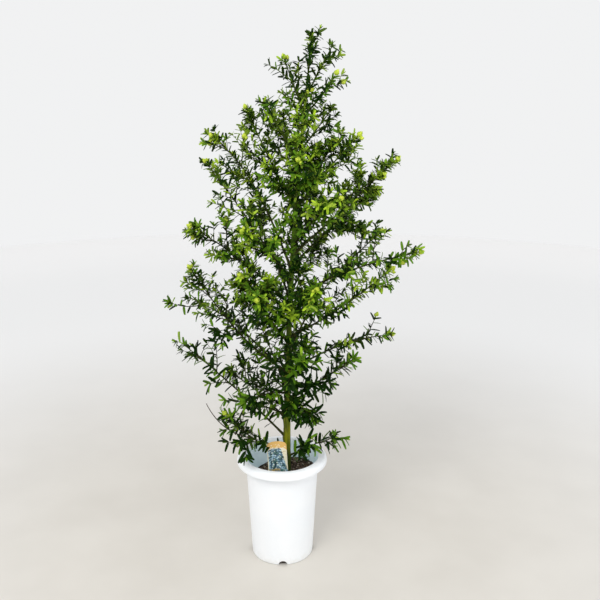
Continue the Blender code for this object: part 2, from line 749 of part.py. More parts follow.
def main():
    clear_scene()
    bark = finish("green bark", (0.23, 0.26, 0.07), 0.6)
    leaf_green = finish("leaf green", (0.07, 0.16, 0.03), 0.4)
    pot = make_pot()
    soil = make_soil()
    label = make_label()
    trunk = add_object("trunk", *trunk_tube(0), bark)
    clearance = add_object("trunk_clearance", *trunk_tube(GAP))
    fixed = [object_shape(thing) for thing in (pot, soil, label, trunk)]
    for limb in LIMBS:
        if has_bough(limb):
            shape = limb_tube(limb, 0, limb.bare, BOUGH_RINGS, BOUGH_SIDES)
            bough = add_object("bough_" + limb.name, *shape, bark)
            cut_away(bough, clearance)
            fixed.append(object_shape(bough))
    limbs = LIMBS + (PEAK,)
    space = Space(limbs, fixed)
    for owner, limb in enumerate(limbs):
        space.settle()
        mass = grow_mass(limb, owner, space, clearance, leaf_green)
        space.fixed.append(object_shape(mass))
    bpy.data.objects.remove(clearance, do_unlink=True)


main()
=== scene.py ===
# %% [markdown]
# # A potted California lilac
# The solid model holds a young evergreen shrub in a tall white pot: pot, soil, label, trunk,
# boughs and masses of foliage, each at its true place. This lesson dresses it. The trunk gets
# bark, every mass gets fine twigs with thousands of small leaves, the pot its smooth rolled
# rim, and all of it a finish that reads at a step's distance.

# %% Load the solid model
import math
import random
from collections import namedtuple
from functools import partial

import bpy
import numpy as np
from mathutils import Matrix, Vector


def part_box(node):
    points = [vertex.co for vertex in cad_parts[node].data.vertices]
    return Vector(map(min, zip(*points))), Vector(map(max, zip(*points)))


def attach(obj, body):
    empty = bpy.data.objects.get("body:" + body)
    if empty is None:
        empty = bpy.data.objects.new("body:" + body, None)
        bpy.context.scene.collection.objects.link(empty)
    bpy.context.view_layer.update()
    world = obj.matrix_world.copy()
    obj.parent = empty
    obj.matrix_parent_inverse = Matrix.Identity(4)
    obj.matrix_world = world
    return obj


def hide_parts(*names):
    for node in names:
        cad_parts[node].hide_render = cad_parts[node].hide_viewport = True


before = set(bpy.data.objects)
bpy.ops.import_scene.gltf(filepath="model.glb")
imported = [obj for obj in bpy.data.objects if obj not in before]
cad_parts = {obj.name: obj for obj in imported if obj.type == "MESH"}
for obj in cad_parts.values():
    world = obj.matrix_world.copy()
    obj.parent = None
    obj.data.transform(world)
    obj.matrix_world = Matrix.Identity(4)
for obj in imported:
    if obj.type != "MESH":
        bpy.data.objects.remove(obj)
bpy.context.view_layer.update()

# %% [markdown]
# ## Surfaces from arrays
# Everything here is either a grid of points or many small grids. Blender takes whole arrays
# through foreach_set, which is far quicker than adding corners one by one, and it keeps a
# shape's formula in one place.


# %% Faces of grids and tubes
def grid_faces(rows, columns, wraps=False):
    """Quads between neighbouring rows and columns. A grid that wraps joins its last column
    to its first, as a tube does."""
    row = np.arange(rows - 1)[:, None] * columns
    column = np.arange(columns if wraps else columns - 1)[None, :]
    after = (column + 1) % columns
    corners = [row + column, row + after, row + columns + after, row + columns + column]
    return np.stack(corners, -1).reshape(-1, 4)


def repeated(faces, copies, corners):
    """The same faces for every copy: copy k counts on from k times the corners of one."""
    shift = np.arange(copies)[:, None, None] * corners
    return (faces[None] + shift).reshape(-1, faces.shape[1])


def tube_faces(rings, sides):
    """A closed tube's faces: quads between its rings, and one flat face at either end."""
    ring = np.arange(sides)[None]
    return [grid_faces(rings, sides, True), ring[:, ::-1], ring + (rings - 1) * sides]


print("a tube of 3 rings and 8 sides has", sum(len(part) for part in tube_faces(3, 8)), "faces")


# %% Making a piece
def add_piece(name, points, faces, finish, slot, nodes=()):
    """One object with its place in its mesh. Faces is a list of arrays, one row a face. It
    rides on the plant's one body and stands for the named solids."""
    points = np.asarray(points, np.float32).reshape(-1, 3)
    sizes = np.concatenate([np.full(len(part), part.shape[1]) for part in faces])
    corners = np.concatenate([part.reshape(-1) for part in faces]).astype(np.int32)
    mesh = bpy.data.meshes.new(name)
    mesh.vertices.add(len(points))
    mesh.vertices.foreach_set("co", points.ravel())
    mesh.loops.add(len(corners))
    mesh.loops.foreach_set("vertex_index", corners)
    mesh.polygons.add(len(sizes))
    mesh.polygons.foreach_set("loop_start", (np.cumsum(sizes) - sizes).astype(np.int32))
    mesh.update(calc_edges=True)
    mesh.shade_smooth()
    mesh.materials.append(finish)
    piece = bpy.data.objects.new(name, mesh)
    bpy.context.scene.collection.objects.link(piece)
    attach(piece, "root")
    if nodes:
        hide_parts(*nodes)
    triangles = int((sizes - 2).sum())
    print(f"{name}: {triangles} triangles")
    return piece


# %% [markdown]
# ## Directions
# A plant is all directions: a twig leaves its stem by some angle, and a leaf its twig. These
# helpers work on whole stacks of vectors at once.


# %% Vector helpers
UP = np.array((0.0, 0.0, 1.0))


def mix(low, high, share):
    """low + (high - low) share."""
    return low + (high - low) * share


def unit(vectors):
    """Each vector over its own length."""
    return vectors / np.linalg.norm(vectors, axis=-1, keepdims=True)


def spun(vectors, axes, angles):
    """Each vector turned about its axis: v cos a + (k x v) sin a + k (k . v)(1 - cos a)."""
    angles = np.asarray(angles)[..., None]
    along = (vectors * axes).sum(-1, keepdims=True)
    level = vectors * np.cos(angles) + np.cross(axes, vectors) * np.sin(angles)
    return level + axes * along * (1 - np.cos(angles))


def square_to(vectors):
    """A unit vector at right angles to each: its cross product with the axis it leans on least."""
    least = np.eye(3)[np.abs(vectors).argmin(-1)]
    return unit(np.cross(vectors, least))


print("a direction square to straight up:", square_to(UP))


# %% Rings and tubes
def ring_angles(sides):
    """Even steps of angle round a ring: 2 pi i / sides."""
    return np.arange(sides) * math.tau / sides


def turned(radius, angle, level):
    """Points round the vertical axis: (r cos a, r sin a, level)."""
    return np.stack(np.broadcast_arrays(radius * np.cos(angle), radius * np.sin(angle), level), -1)


def tubes(points, radii, sides):
    """Many tubes at once, from points by tube and ring: corner = point + radius times
    (cos a across + sin a up), with across and up square to the line, and flat closed ends."""
    count, rings = points.shape[:2]
    ahead = unit(np.gradient(points, axis=1))
    whole = unit(points[:, -1] - points[:, 0])
    across = square_to(whole)[:, None]
    across = unit(across - (across * ahead).sum(-1, keepdims=True) * ahead)
    up = np.cross(ahead, across)
    angle = ring_angles(sides)
    out = across[:, :, None] * np.cos(angle)[:, None] + up[:, :, None] * np.sin(angle)[:, None]
    corners = points[:, :, None] + out * radii[..., None, None]
    return corners, [repeated(part, count, rings * sides) for part in tube_faces(rings, sides)]


print("a ring of 4 points:", turned(1.0, ring_angles(4), 0.0).round(3).tolist())


# %% [markdown]
# ## Finishes as arithmetic
# A material is a little sum over the surface: base colour plus streaks minus stains. One small
# class lets that sum be written as Python, and each operator adds its Math node. One method
# adds any other node.


# %% Sums of sockets
class Term:
    """A socket in a sum. Its operators add Math nodes to the finish it belongs to."""

    def __init__(self, finish, socket):
        self.finish = finish
        self.socket = socket

    def combine(self, operation, first, second):
        return self.finish.node("ShaderNodeMath", {"operation": operation}, {0: first, 1: second})

    def __add__(self, other):
        return self.combine("ADD", self, other)

    def __sub__(self, other):
        return self.combine("SUBTRACT", self, other)

    def __mul__(self, other):
        return self.combine("MULTIPLY", self, other)

    def __rsub__(self, other):
        return self.combine("SUBTRACT", other, self)

    __radd__ = __add__
    __rmul__ = __mul__

    def above(self, edge, softness):
        """0 below the edge and 1 above it, with a soft step between."""
        settings = {"interpolation_type": "SMOOTHSTEP"}
        ends = {"Value": self, "From Min": edge - softness, "From Max": edge + softness}
        return self.finish.node("ShaderNodeMapRange", settings, ends)


# %% Finish
class Finish:
    """A Principled material being put together."""

    def __init__(self, name, colour, roughness, **constants):
        self.material = bpy.data.materials.new(name)
        self.material.use_nodes = True
        self.tree = self.material.node_tree
        self.shader = self.tree.nodes["Principled BSDF"]
        self.shader.inputs["Base Color"].default_value = (*colour, 1)
        self.shader.inputs["Roughness"].default_value = roughness
        for socket, value in constants.items():
            self.shader.inputs[socket.replace("_", " ")].default_value = value
        self.place = self.node("ShaderNodeTexCoord", output="Object")

    def node(self, kind, settings=None, inputs=None, output=0):
        """Any node: settings are set first, then its sockets take values or links."""
        made = self.tree.nodes.new(kind)
        for name, value in (settings or {}).items():
            setattr(made, name, value)
        for name, value in (inputs or {}).items():
            if isinstance(value, Term):
                self.tree.links.new(value.socket, made.inputs[name])
            else:
                made.inputs[name].default_value = value
        return Term(self, made.outputs[output])

    def axis(self, letter, place=None):
        """One coordinate of a place: X, Y or Z."""
        return self.node("ShaderNodeSeparateXYZ", inputs={0: place or self.place}, output=letter)

    def far_out(self, place):
        """How far a place is from the origin."""
        return self.node("ShaderNodeVectorMath", {"operation": "LENGTH"}, {0: place}, "Value")

    def stretched(self, scale):
        """The surface's own coordinates, scaled by axis."""
        return self.node("ShaderNodeMapping", inputs={"Vector": self.place, "Scale": scale})

    def noise(self, scale, detail, place=None):
        """Soft cloudy noise from 0 to 1, with scale features a metre."""
        inputs = {"Vector": place or self.place, "Scale": scale, "Detail": detail}
        return self.node("ShaderNodeTexNoise", inputs=inputs)

    def cells(self, scale, place=None):
        """Distance to the nearest of many scattered points, with scale points a metre."""
        inputs = {"Vector": place or self.place, "Scale": scale}
        return self.node("ShaderNodeTexVoronoi", inputs=inputs, output="Distance")

    def blend(self, factor, first, second):
        """One colour over another by a factor. A Mix node's colours are its sockets 6 and 7."""
        first = first if isinstance(first, Term) else (*first, 1)
        second = second if isinstance(second, Term) else (*second, 1)
        inputs = {0: factor, 6: first, 7: second}
        return self.node("ShaderNodeMix", {"data_type": "RGBA"}, inputs, 2)

    def drive(self, socket, value):
        """Leads a sum or a colour to one of the shader's own sockets."""
        self.tree.links.new(value.socket, self.shader.inputs[socket])

    def bump(self, height, distance):
        """Relief that is too fine for the mesh, given in metres."""
        inputs = {"Height": height, "Distance": distance, "Strength": 1.0}
        self.drive("Normal", self.node("ShaderNodeBump", inputs=inputs))


print("a finish can use:", [name for name in vars(Finish) if not name.startswith("_")])

# %% [markdown]
# ## Sizes
# The pot's and the trunk's main sizes are read from the solid model, so that the dress fits
# it. The growth rule's own numbers are the ones that the solids grow by.

# %% Driving sizes
pot_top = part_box("pot")[1]
POT_HEIGHT = pot_top.z
RIM_RADIUS = pot_top.x
SOIL_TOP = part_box("soil")[1].z
TRUNK_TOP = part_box("trunk")[1].z
PLANT_TOP = 1.1900
GOLDEN_TURN = math.radians(137.5)
print(f"pot {POT_HEIGHT:.3f} m tall, rim {2 * RIM_RADIUS:.3f} m across, soil at {SOIL_TOP:.3f} m")

# %% [markdown]
# ## The limbs
# The plant is one leader with limbs that leave it all the way up. A limb is one smooth line:
# out by its reach, up by its rise, its middle lifted by its bow. The same values drive the
# solids. The table also gives the height at which a limb leaves the trunk, the bearing it
# leaves in, the share of it that has no leaves yet, how many flower buds stand at its end, how
# leafy it is, and which throw of the dice its twigs are dealt from. Bearings are in degrees
# from the right, and the front is at -90. The last two columns were tried out one limb at a
# time until the gaps between the leaves lay about where the real plant has them.

# %% Limb table
Limb = namedtuple("Limb", "name height bearing reach rise bow bare buds leafy throw")
LIMBS = (
    Limb("low_left", 0.252, -162, 0.147, 0.121, -0.019, 0.00, 1, 1.5, 25),
    Limb("low_right", 0.241, -14, 0.120, 0.065, 0.004, 0.00, 0, 1.0, 0),
    Limb("low_long_left", 0.289, 173, 0.245, 0.225, 0.008, 0.32, 0, 0.7, 10),
    Limb("low_side_left", 0.345, -152, 0.165, 0.070, 0.010, 0.00, 0, 0.6, 4),
    Limb("low_inner_right", 0.359, -53, 0.106, 0.010, 0.016, 0.00, 0, 1.8, 11),
    Limb("low_mid_right", 0.379, -24, 0.170, 0.135, 0.000, 0.00, 0, 0.7, 14),
    Limb("low_inner_left", 0.400, -135, 0.140, 0.015, 0.010, 0.00, 0, 0.5, 20),
    Limb("low_back", 0.396, 111, 0.206, 0.114, 0.009, 0.00, 0, 1.5, 5),
    Limb("low_front", 0.418, -79, 0.182, 0.125, 0.011, 0.00, 0, 0.5, 21),
    Limb("far_left", 0.438, 156, 0.270, 0.165, 0.028, 0.30, 0, 0.5, 22),
    Limb("lower_left", 0.450, -164, 0.216, 0.262, -0.030, 0.28, 1, 1.1, 24),
    Limb("lower_right", 0.452, 14, 0.250, 0.070, 0.018, 0.25, 2, 0.7, 16),
    Limb("lower_back", 0.501, 62, 0.260, 0.129, 0.016, 0.30, 1, 0.5, 11),
    Limb("lower_front", 0.517, -105, 0.225, 0.165, 0.000, 0.28, 1, 1.4, 17),
    Limb("middle_right", 0.533, -19, 0.233, 0.179, -0.010, 0.25, 1, 0.5, 17),
    Limb("middle_front_right", 0.583, -75, 0.217, 0.118, 0.005, 0.00, 2, 1.5, 7),
    Limb("middle_inner_left", 0.601, -127, 0.167, 0.111, 0.000, 0.00, 1, 1.4, 22),
    Limb("right_back", 0.603, 27, 0.236, 0.154, -0.007, 0.26, 2, 0.8, 2),
    Limb("left_front", 0.610, -154, 0.225, 0.195, 0.015, 0.27, 3, 1.25, 9),
    Limb("middle_back", 0.622, 112, 0.265, 0.165, 0.010, 0.28, 1, 0.8, 3),
    Limb("far_right", 0.628, -28, 0.298, 0.133, 0.013, 0.30, 2, 0.5, 24),
    Limb("left_back", 0.652, 161, 0.200, 0.267, 0.011, 0.26, 1, 0.5, 24),
    Limb("middle_front_left", 0.667, -114, 0.226, 0.148, 0.013, 0.28, 1, 0.9, 23),
    Limb("left_upper", 0.690, -171, 0.165, 0.290, 0.045, 0.27, 3, 0.8, 3),
    Limb("right_behind", 0.698, 34, 0.234, 0.146, 0.012, 0.26, 2, 1.8, 12),
    Limb("right_upper", 0.724, 4, 0.225, 0.207, -0.001, 0.24, 3, 1.8, 18),
    Limb("upper_back", 0.733, 74, 0.199, 0.163, 0.004, 0.00, 1, 1.8, 18),
    Limb("upper_front", 0.745, -62, 0.200, 0.130, 0.010, 0.00, 1, 0.7, 13),
    Limb("high_front", 0.812, -88, 0.165, 0.135, 0.006, 0.00, 1, 1.8, 19),
    Limb("high_left", 0.822, 147, 0.130, 0.214, -0.006, 0.00, 1, 1.4, 16),
    Limb("high_right", 0.824, -36, 0.157, 0.165, 0.005, 0.00, 1, 0.8, 0),
    Limb("high_back", 0.840, 104, 0.150, 0.155, 0.006, 0.00, 1, 1.4, 14),
    Limb("crest_left", 0.918, -147, 0.095, 0.139, 0.005, 0.00, 0, 0.7, 10),
    Limb("crest_front", 0.930, -92, 0.095, 0.105, 0.004, 0.00, 0, 0.5, 22),
    Limb("crest_right", 0.949, 35, 0.090, 0.092, 0.000, 0.00, 0, 0.5, 19),
    Limb("crest_back", 0.961, 89, 0.100, 0.103, -0.001, 0.00, 0, 1.1, 15),
    Limb("tip_right", 1.023, -27, 0.074, 0.085, -0.008, 0.00, 3, 0.6, 4),
    Limb("tip_left", 1.027, 150, 0.050, 0.112, -0.005, 0.00, 1, 0.7, 15),
    Limb("peak_right", 1.057, 10, 0.060, 0.111, 0.001, 0.00, 0, 0.6, 1),
    Limb("crest_middle_right", 0.866, -20, 0.088, 0.105, -0.002, 0.00, 1, 1.8, 25),
    Limb("inner_right_back", 0.635, 41, 0.100, 0.119, 0.011, 0.00, 0, 1.25, 9),
    Limb("inner_right_front", 0.467, -59, 0.091, 0.071, 0.009, 0.00, 0, 0.7, 15),
    Limb("inner_left_front", 0.561, -158, 0.129, 0.109, 0.006, 0.00, 0, 1.8, 15),
    Limb("low_inner_back", 0.333, 163, 0.144, 0.104, 0.011, 0.00, 0, 1.8, 18),
    Limb("high_right_back", 0.764, 2, 0.192, 0.134, 0.006, 0.00, 1, 1.0, 5),
    Limb("peak", TRUNK_TOP, 10, 0.010, PLANT_TOP - TRUNK_TOP + 0.005, 0.000, 0.00, 0, 1.1, 19),
)
PEAK = LIMBS[-1]
BOUGH_LEAST = 0.265
print(len(LIMBS), "limbs,", sum(limb.buds for limb in LIMBS), "bud places")

# %% [markdown]
# ## Lines of trunk and limb
# The trunk leans steadily to the right less one long bow, and tapers slowly up to three
# quarters of its height. A limb's radius falls from foot to tip by a power of the way along.
# Curves with handles could hold these lines. But wood, twigs, leaves and buds all ask for a
# point, a direction or a radius somewhere along them, and a function answers each at once.

# %% Trunk line
TRUNK_FOOT_X = 0.0105
TRUNK_LEAN = 0.0575
TRUNK_BOW = 0.0150
TRUNK_SWAY = 0.0040
TRUNK_FOOT_RADIUS = 0.0064
TRUNK_MIDDLE_RADIUS = 0.0052
TRUNK_TOP_RADIUS = 0.0022
TRUNK_EVEN_SHARE = 0.75
FLARE = 0.0030
FLARE_HEIGHT = 0.0900


def trunk_axis(height):
    """x = foot + lean share - bow sin(pi share), y = sway sin(2 pi share), z = height."""
    height = np.asarray(height, float)
    share = (height - SOIL_TOP) / (PLANT_TOP - SOIL_TOP)
    bow = TRUNK_BOW * np.sin(math.pi * np.clip(share, 0, 1))
    x = TRUNK_FOOT_X + TRUNK_LEAN * share - bow
    return np.stack([x, TRUNK_SWAY * np.sin(math.tau * share), height], -1)


def trunk_radius(height):
    """Two straight tapers that meet at three quarters, plus a flare that fades upwards."""
    share = (height - SOIL_TOP) / (TRUNK_TOP - SOIL_TOP)
    radii = [TRUNK_FOOT_RADIUS, TRUNK_MIDDLE_RADIUS, TRUNK_TOP_RADIUS]
    taper = np.interp(share, [0, TRUNK_EVEN_SHARE, 1], radii)
    return taper + FLARE * np.exp(-(height - SOIL_TOP) / FLARE_HEIGHT)


print("trunk radius at the soil:", round(float(trunk_radius(SOIL_TOP)), 4), "m")

# %% Limb line
LIMB_FOOT_RADIUS = 0.0036
LIMB_LEAST_RADIUS = 0.0018
LIMB_TIP_RADIUS = 0.0010
LIMB_TAPER = 0.8
LIMB_FULL_REACH = 0.30
LINE_STEP = 0.01


def limb_point(limb, share):
    """Foot on the trunk + reach share along the bearing + (rise share + bow sin(pi share)) up."""
    share = np.asarray(share, float)
    bearing = math.radians(limb.bearing)
    out = limb.reach * share
    up = limb.rise * share + limb.bow * np.sin(math.pi * share)
    run = np.stack([out * math.cos(bearing), out * math.sin(bearing), up], -1)
    return trunk_axis(limb.height) + run


def limb_length(limb):
    """Straight from foot to tip: the square root of reach squared + rise squared."""
    return math.hypot(limb.reach, limb.rise)


def limb_radius(limb, share):
    """foot + (tip - foot) share^0.8. The longer the limb, the thicker its foot."""
    vigour = min(limb_length(limb) / LIMB_FULL_REACH, 1)
    foot = mix(LIMB_LEAST_RADIUS, LIMB_FOOT_RADIUS, vigour)
    return mix(foot, LIMB_TIP_RADIUS, np.clip(share, 0, 1) ** LIMB_TAPER)


def limb_ahead(limb, share):
    """The way a limb runs: from a hundredth of it before a place to a hundredth after."""
    return unit(limb_point(limb, share + LINE_STEP) - limb_point(limb, share - LINE_STEP))


print("crown reaches", round(max(limb.reach for limb in LIMBS), 3), "m from the trunk")

# %% [markdown]
# ## Space
# Each limb keeps its twigs to its own space: a twig is kept only where its middle and its tip
# are nearer to their own limb than to any other, and clear of the trunk. Real shoots grow
# towards the light, and part in much the same way. To test two points against the straight
# pieces of every limb is one sum over arrays, far less work than mesh against mesh.

# %% Space test
SAMPLES = 14
SPACE_MARGIN = 0.0030
LIMB_CLEAR = 0.0040
sample_shares = np.linspace(0, 1, SAMPLES + 1)
limb_lines = np.array([limb_point(limb, sample_shares) for limb in LIMBS])
line_starts = limb_lines[:, :-1]
line_runs = np.diff(limb_lines, axis=1)


def limb_distances(points):
    """Distance from each point to each limb's line, by points and limbs."""
    away = np.asarray(points)[:, None, None] - line_starts
    along = (away * line_runs).sum(-1) / (line_runs ** 2).sum(-1)
    nearest = away - line_runs * np.clip(along, 0, 1)[..., None]
    return np.sqrt((nearest ** 2).sum(-1)).min(-1)


def off_trunk(points, margin):
    """Whether each point is further from the trunk's skin than the margin."""
    level = np.minimum(points[:, 2], TRUNK_TOP)
    away = np.linalg.norm(points - trunk_axis(level), axis=-1)
    return away > trunk_radius(level) + margin


def holds(owner, points):
    """Whether all points are nearest to their own limb, by a margin, and off the trunk."""
    points = np.asarray(points)
    distances = limb_distances(points)
    own = distances[:, owner].copy()
    distances[:, owner] = np.inf
    apart = own + SPACE_MARGIN <= distances.min(-1)
    return bool((apart & off_trunk(points, LIMB_CLEAR)).all())


print("limb lines:", limb_lines.shape)

# %% [markdown]
# ## Side shoots
# Shoots spiral round each limb by the golden angle, get shorter towards its tip and turn up to
# the light. The draw for each limb starts from the limb's own number, so the shoots stand
# where the solid model has them.

# %% Where foliage starts and ends
FOLIAGE_INNER = 0.14
FOLIAGE_INNER_PEAK = 0.05
FOLIAGE_PAST_BOUGH = 0.02
TIP_ROOM = 0.024
LEAF_ROOM = 0.010
LEAF_ROOM_PEAK = 0.024


def foliage_start(limb):
    """Share of a limb where its side shoots begin."""
    if limb is PEAK:
        return FOLIAGE_INNER_PEAK
    return max(limb.bare + FOLIAGE_PAST_BOUGH, FOLIAGE_INNER)


def stem_end(limb):
    """Share of a limb where its stem ends. The leaves at its tip cover the rest."""
    return 1 - TIP_ROOM / limb_length(limb)


def stem_tip(limb):
    """Share where the fine stem ends: real leaves are short, so it runs on past stem_end."""
    return 1 - (LEAF_ROOM_PEAK if limb is PEAK else LEAF_ROOM) / limb_length(limb)


longest = max(LIMBS, key=limb_length)
print("foliage of", longest.name, "begins at", round(foliage_start(longest), 2), "of its way")

# %% Side shoots of a limb
SHOOT_SPACING = 0.058
SHOOT_LENGTH = 0.085
SHOOT_LAST = 0.92
SHOOT_TURN_VARIES = 0.4
SHOOT_VARIES = 0.15
LEAST_SHOOTS = 2
SHOOT_MOST_SHARE = 0.34
SHOOT_CUTS = (1.0, 0.75, 0.5)
SHOOT_DOWN_SHARE = 0.6
SHOOT_TIP_SHARE = 0.30
SHOOT_OPEN = math.radians(50)
SHOOT_LIFT = 0.25
Shoot = namedtuple("Shoot", "foot tip roll share")


def shoots_of(owner):
    """Shoot i leaves at an even share of the stem: heading = ahead cos(open) + around
    sin(open), with around turned by i golden angles, and a little lift added to the run."""
    limb = LIMBS[owner]
    draw = random.Random(owner)
    start = foliage_start(limb)
    room = limb_length(limb) * (1 - start)
    count = max(LEAST_SHOOTS, round(room / SHOOT_SPACING))
    shoots = []
    for index in range(count):
        share = mix(start, SHOOT_LAST * stem_end(limb), (index + 0.5) / count)
        ahead = limb_ahead(limb, share)
        side = unit(np.cross(ahead, UP))
        turn = GOLDEN_TURN * index + draw.uniform(-SHOOT_TURN_VARIES, SHOOT_TURN_VARIES)
        around = spun(side, ahead, turn)
        open_by = SHOOT_OPEN * draw.uniform(1 - SHOOT_VARIES, 1 + SHOOT_VARIES)
        heading = ahead * math.cos(open_by) + around * math.sin(open_by)
        vigour = draw.uniform(1 - SHOOT_VARIES, 1 + SHOOT_VARIES)
        length = SHOOT_LENGTH * mix(1, SHOOT_TIP_SHARE, share) * vigour
        length = min(length, SHOOT_MOST_SHARE * limb_length(limb))
        length *= 1 + SHOOT_DOWN_SHARE * min(heading[2], 0)
        foot = limb_point(limb, share)
        for cut in SHOOT_CUTS:
            tip = foot + (heading + UP * SHOOT_LIFT) * length * cut
            if holds(owner, [mix(foot, tip, 0.5), tip]):
                shoots.append(Shoot(foot, tip, turn, share))
                break
    return shoots


limb_shoots = [shoots_of(owner) for owner in range(len(LIMBS))]
print(sum(len(shoots) for shoots in limb_shoots), "side shoots")

# %% [markdown]
# ## Fine twigs
# In the solid model one large leaf stands for a spray of small ones. Here every such place
# grows a fine twig of about that reach. A twig's line is straight with a slight lift in its
# middle, and it is set down as foot, tip, lift and two radii, with a tone for its leaves. What
# changes with the height, such as the fullness, is a pair of rows: heights, and values there.

# %% Twig measures
SPRAY_LOW = 0.078
SPRAY_HIGH = 0.055
SPRAY_INNER_SHARE = 1.50
SPRAY_TIP_SHARE = 0.62
SPRAY_SHORT_LIMB = 0.72
SPRAY_PEAK_SHARE = 0.80
TWIG_SHORT = ((0.25, 1.05), (0.0174, 0.0105))
TWIG_VARIES = (0.80, 1.08)
LEAST_TWIG = 0.012
TWIG_LIFT = 0.08
TWIG_RADII = (0.0008, 0.0004)
SHOOT_RADII = (0.0015, 0.0006)
Twig = namedtuple("Twig", "foot tip lift foot_radius tip_radius share bud tone")


def spray_length(limb, height, share):
    """Longer low down and near the trunk, shorter up high, at a limb's tip and on short limbs."""
    length = mix(SPRAY_LOW, SPRAY_HIGH, (height - POT_HEIGHT) / (PLANT_TOP - POT_HEIGHT))
    vigour = mix(SPRAY_SHORT_LIMB, 1, min(limb_length(limb) / LIMB_FULL_REACH, 1))
    vigour *= SPRAY_PEAK_SHARE if limb is PEAK else 1
    return length * vigour * mix(SPRAY_INNER_SHARE, SPRAY_TIP_SHARE, share)


def line_point(twig, along):
    """foot + (tip - foot) t + 4 lift t (1 - t)."""
    along = np.asarray(along, float)[..., None]
    return mix(twig.foot, twig.tip, along) + twig.lift * 4 * along * (1 - along)


print("sprays on the first limb:", round(spray_length(LIMBS[0], LIMBS[0].height, 0.5), 3), "m")

# %% [markdown]
# A plant's foliage isn't one green. Leaves low down and inside are deep, partly the older
# leaves' own darker green and partly painted shade where the crown shades itself, and the outer
# and upper ones fresh. A twig is dealt one tone for all its leaves, so that the tones stand in
# patches, as they do on the real plant.

# %% Tones by height
# Low values deepen the low leaves: partly their own older green, partly painted shade.
TONE_BY_HEIGHT = (
    (0.30, 0.48, 0.58, 0.70, 0.85, 0.97, 1.10),
    (-0.65, -0.50, 0.10, 0.60, 0.74, 0.54, -0.20),
)
FRESH_START = 0.45
TONE_OUTWARD = 0.60
FRESH_VARIES = 0.68
FRESH_MOST = 2.7


def deal_tone(draw, height, outward):
    """A whole tone from 0, the deepest green, to 2, a fresh one. It is a bell-shaped draw
    round start + outward share + the tone shift at this height. Its low values down low and
    near the trunk are partly painted shade."""
    fresh = FRESH_START + TONE_OUTWARD * outward + np.interp(height, *TONE_BY_HEIGHT)
    return int(np.clip(draw.normal(fresh, FRESH_VARIES), 0, FRESH_MOST))


print("freshness in the middle of the plant:", round(float(np.interp(0.7, *TONE_BY_HEIGHT)), 2))

# %% Growing a twig
TWIG_OPEN = math.radians(52)
TIP_TWIG_OPEN = math.radians(26)
TWIG_RISE = 0.30
LIFT_VARIES = 0.4
TRIES = 8
TRY_TURN = 1.1
TRY_SLACK = 0.3
FULLNESS = ((0.30, 0.45, 0.62, 0.72, 1.00, 1.10), (0.62, 0.85, 1.15, 1.90, 1.90, 1.20))


def grow_twig(owner, foot, share, ahead, turn, open_by, draw):
    """Tries a few turns of a twig about its stem and returns the first that has room, or
    none: heading = ahead cos(open) + around sin(open) + rise."""
    limb = LIMBS[owner]
    length = spray_length(limb, foot[2], share) * draw.uniform(*TWIG_VARIES)
    length = max(length - np.interp(foot[2], *TWIG_SHORT), LEAST_TWIG)
    side = square_to(ahead)
    for attempt in range(TRIES):
        about = turn + attempt * TRY_TURN + draw.uniform(-TRY_SLACK, TRY_SLACK)
        around = spun(side, ahead, about)
        heading = ahead * math.cos(open_by) + around * math.sin(open_by) + UP * TWIG_RISE
        tip = foot + unit(heading) * length
        if holds(owner, [mix(foot, tip, 0.5), tip]):
            lift = (UP + draw.normal(0, LIFT_VARIES, 3)) * TWIG_LIFT * length
            tone = deal_tone(draw, foot[2], share)
            return [Twig(foot, tip, lift, *TWIG_RADII, share, 0, tone)]
    return []


def grow_twigs(owner, foot, share, ahead, turn, open_by, draw):
    """As many twigs at a place as the height's fullness times the limb's leafiness asks for,
    each on the other side of the stem from the last."""
    wanted = int(np.interp(foot[2], *FULLNESS) * LIMBS[owner].leafy + draw.random())
    grown_here = []
    for index in range(wanted):
        about = turn + math.pi * index
        grown_here += grow_twig(owner, foot, share, ahead, about, open_by, draw)
    return grown_here


print("twigs at a place up high:", np.interp(0.9, *FULLNESS), "times the limb's leafiness")

# %% [markdown]
# Twigs stand at three kinds of place: a few close together at a limb's end, some at the tip
# and along each side shoot, and a spiral of them along the limb itself.

# %% Twigs on a limb
LIMB_TIP_TWIGS = 3
LIMB_TIP_STEP = 0.04
STEM_TWIG_SPACING = 0.055
STEM_TWIG_START = 0.3


def tip_twigs(owner, draw):
    """Twigs at the end of a limb, each an even turn on and a little further back."""
    limb = LIMBS[owner]
    end = stem_end(limb)
    ahead = limb_ahead(limb, end)
    fine = []
    for index in range(LIMB_TIP_TWIGS):
        turn = math.tau * index / LIMB_TIP_TWIGS
        foot = limb_point(limb, end - LIMB_TIP_STEP * index)
        fine += grow_twigs(owner, foot, 1.0, ahead, turn, TIP_TWIG_OPEN, draw)
    return fine


def stem_twigs(owner, draw):
    """Twigs along the limb itself, from its first foliage to its end, by the golden angle."""
    limb = LIMBS[owner]
    inner, end = foliage_start(limb), stem_end(limb)
    count = max(2, round(limb_length(limb) * (end - inner) / STEM_TWIG_SPACING))
    fine = []
    for index in range(count):
        share = mix(inner, end, (index + STEM_TWIG_START) / count)
        turn = GOLDEN_TURN * index + math.pi / 2
        foot = limb_point(limb, share)
        fine += grow_twigs(owner, foot, share, limb_ahead(limb, share), turn, TWIG_OPEN, draw)
    return fine


print("twigs at a limb's end:", LIMB_TIP_TWIGS, "times the fullness")

# %% Twigs on side shoots
SHOOT_BOW_UP = 0.4
SHOOT_BOW_VARIES = 0.5
SHOOT_TIP_TWIGS = 2
SHOOT_TIP_FROM = 0.93
SHOOT_TIP_STEP = 0.1
SHOOT_TIP_OUTWARD = 0.6
LEAFY_SHARE = 0.4
TWIG_SEED = 1000
THROW_STEP = 100


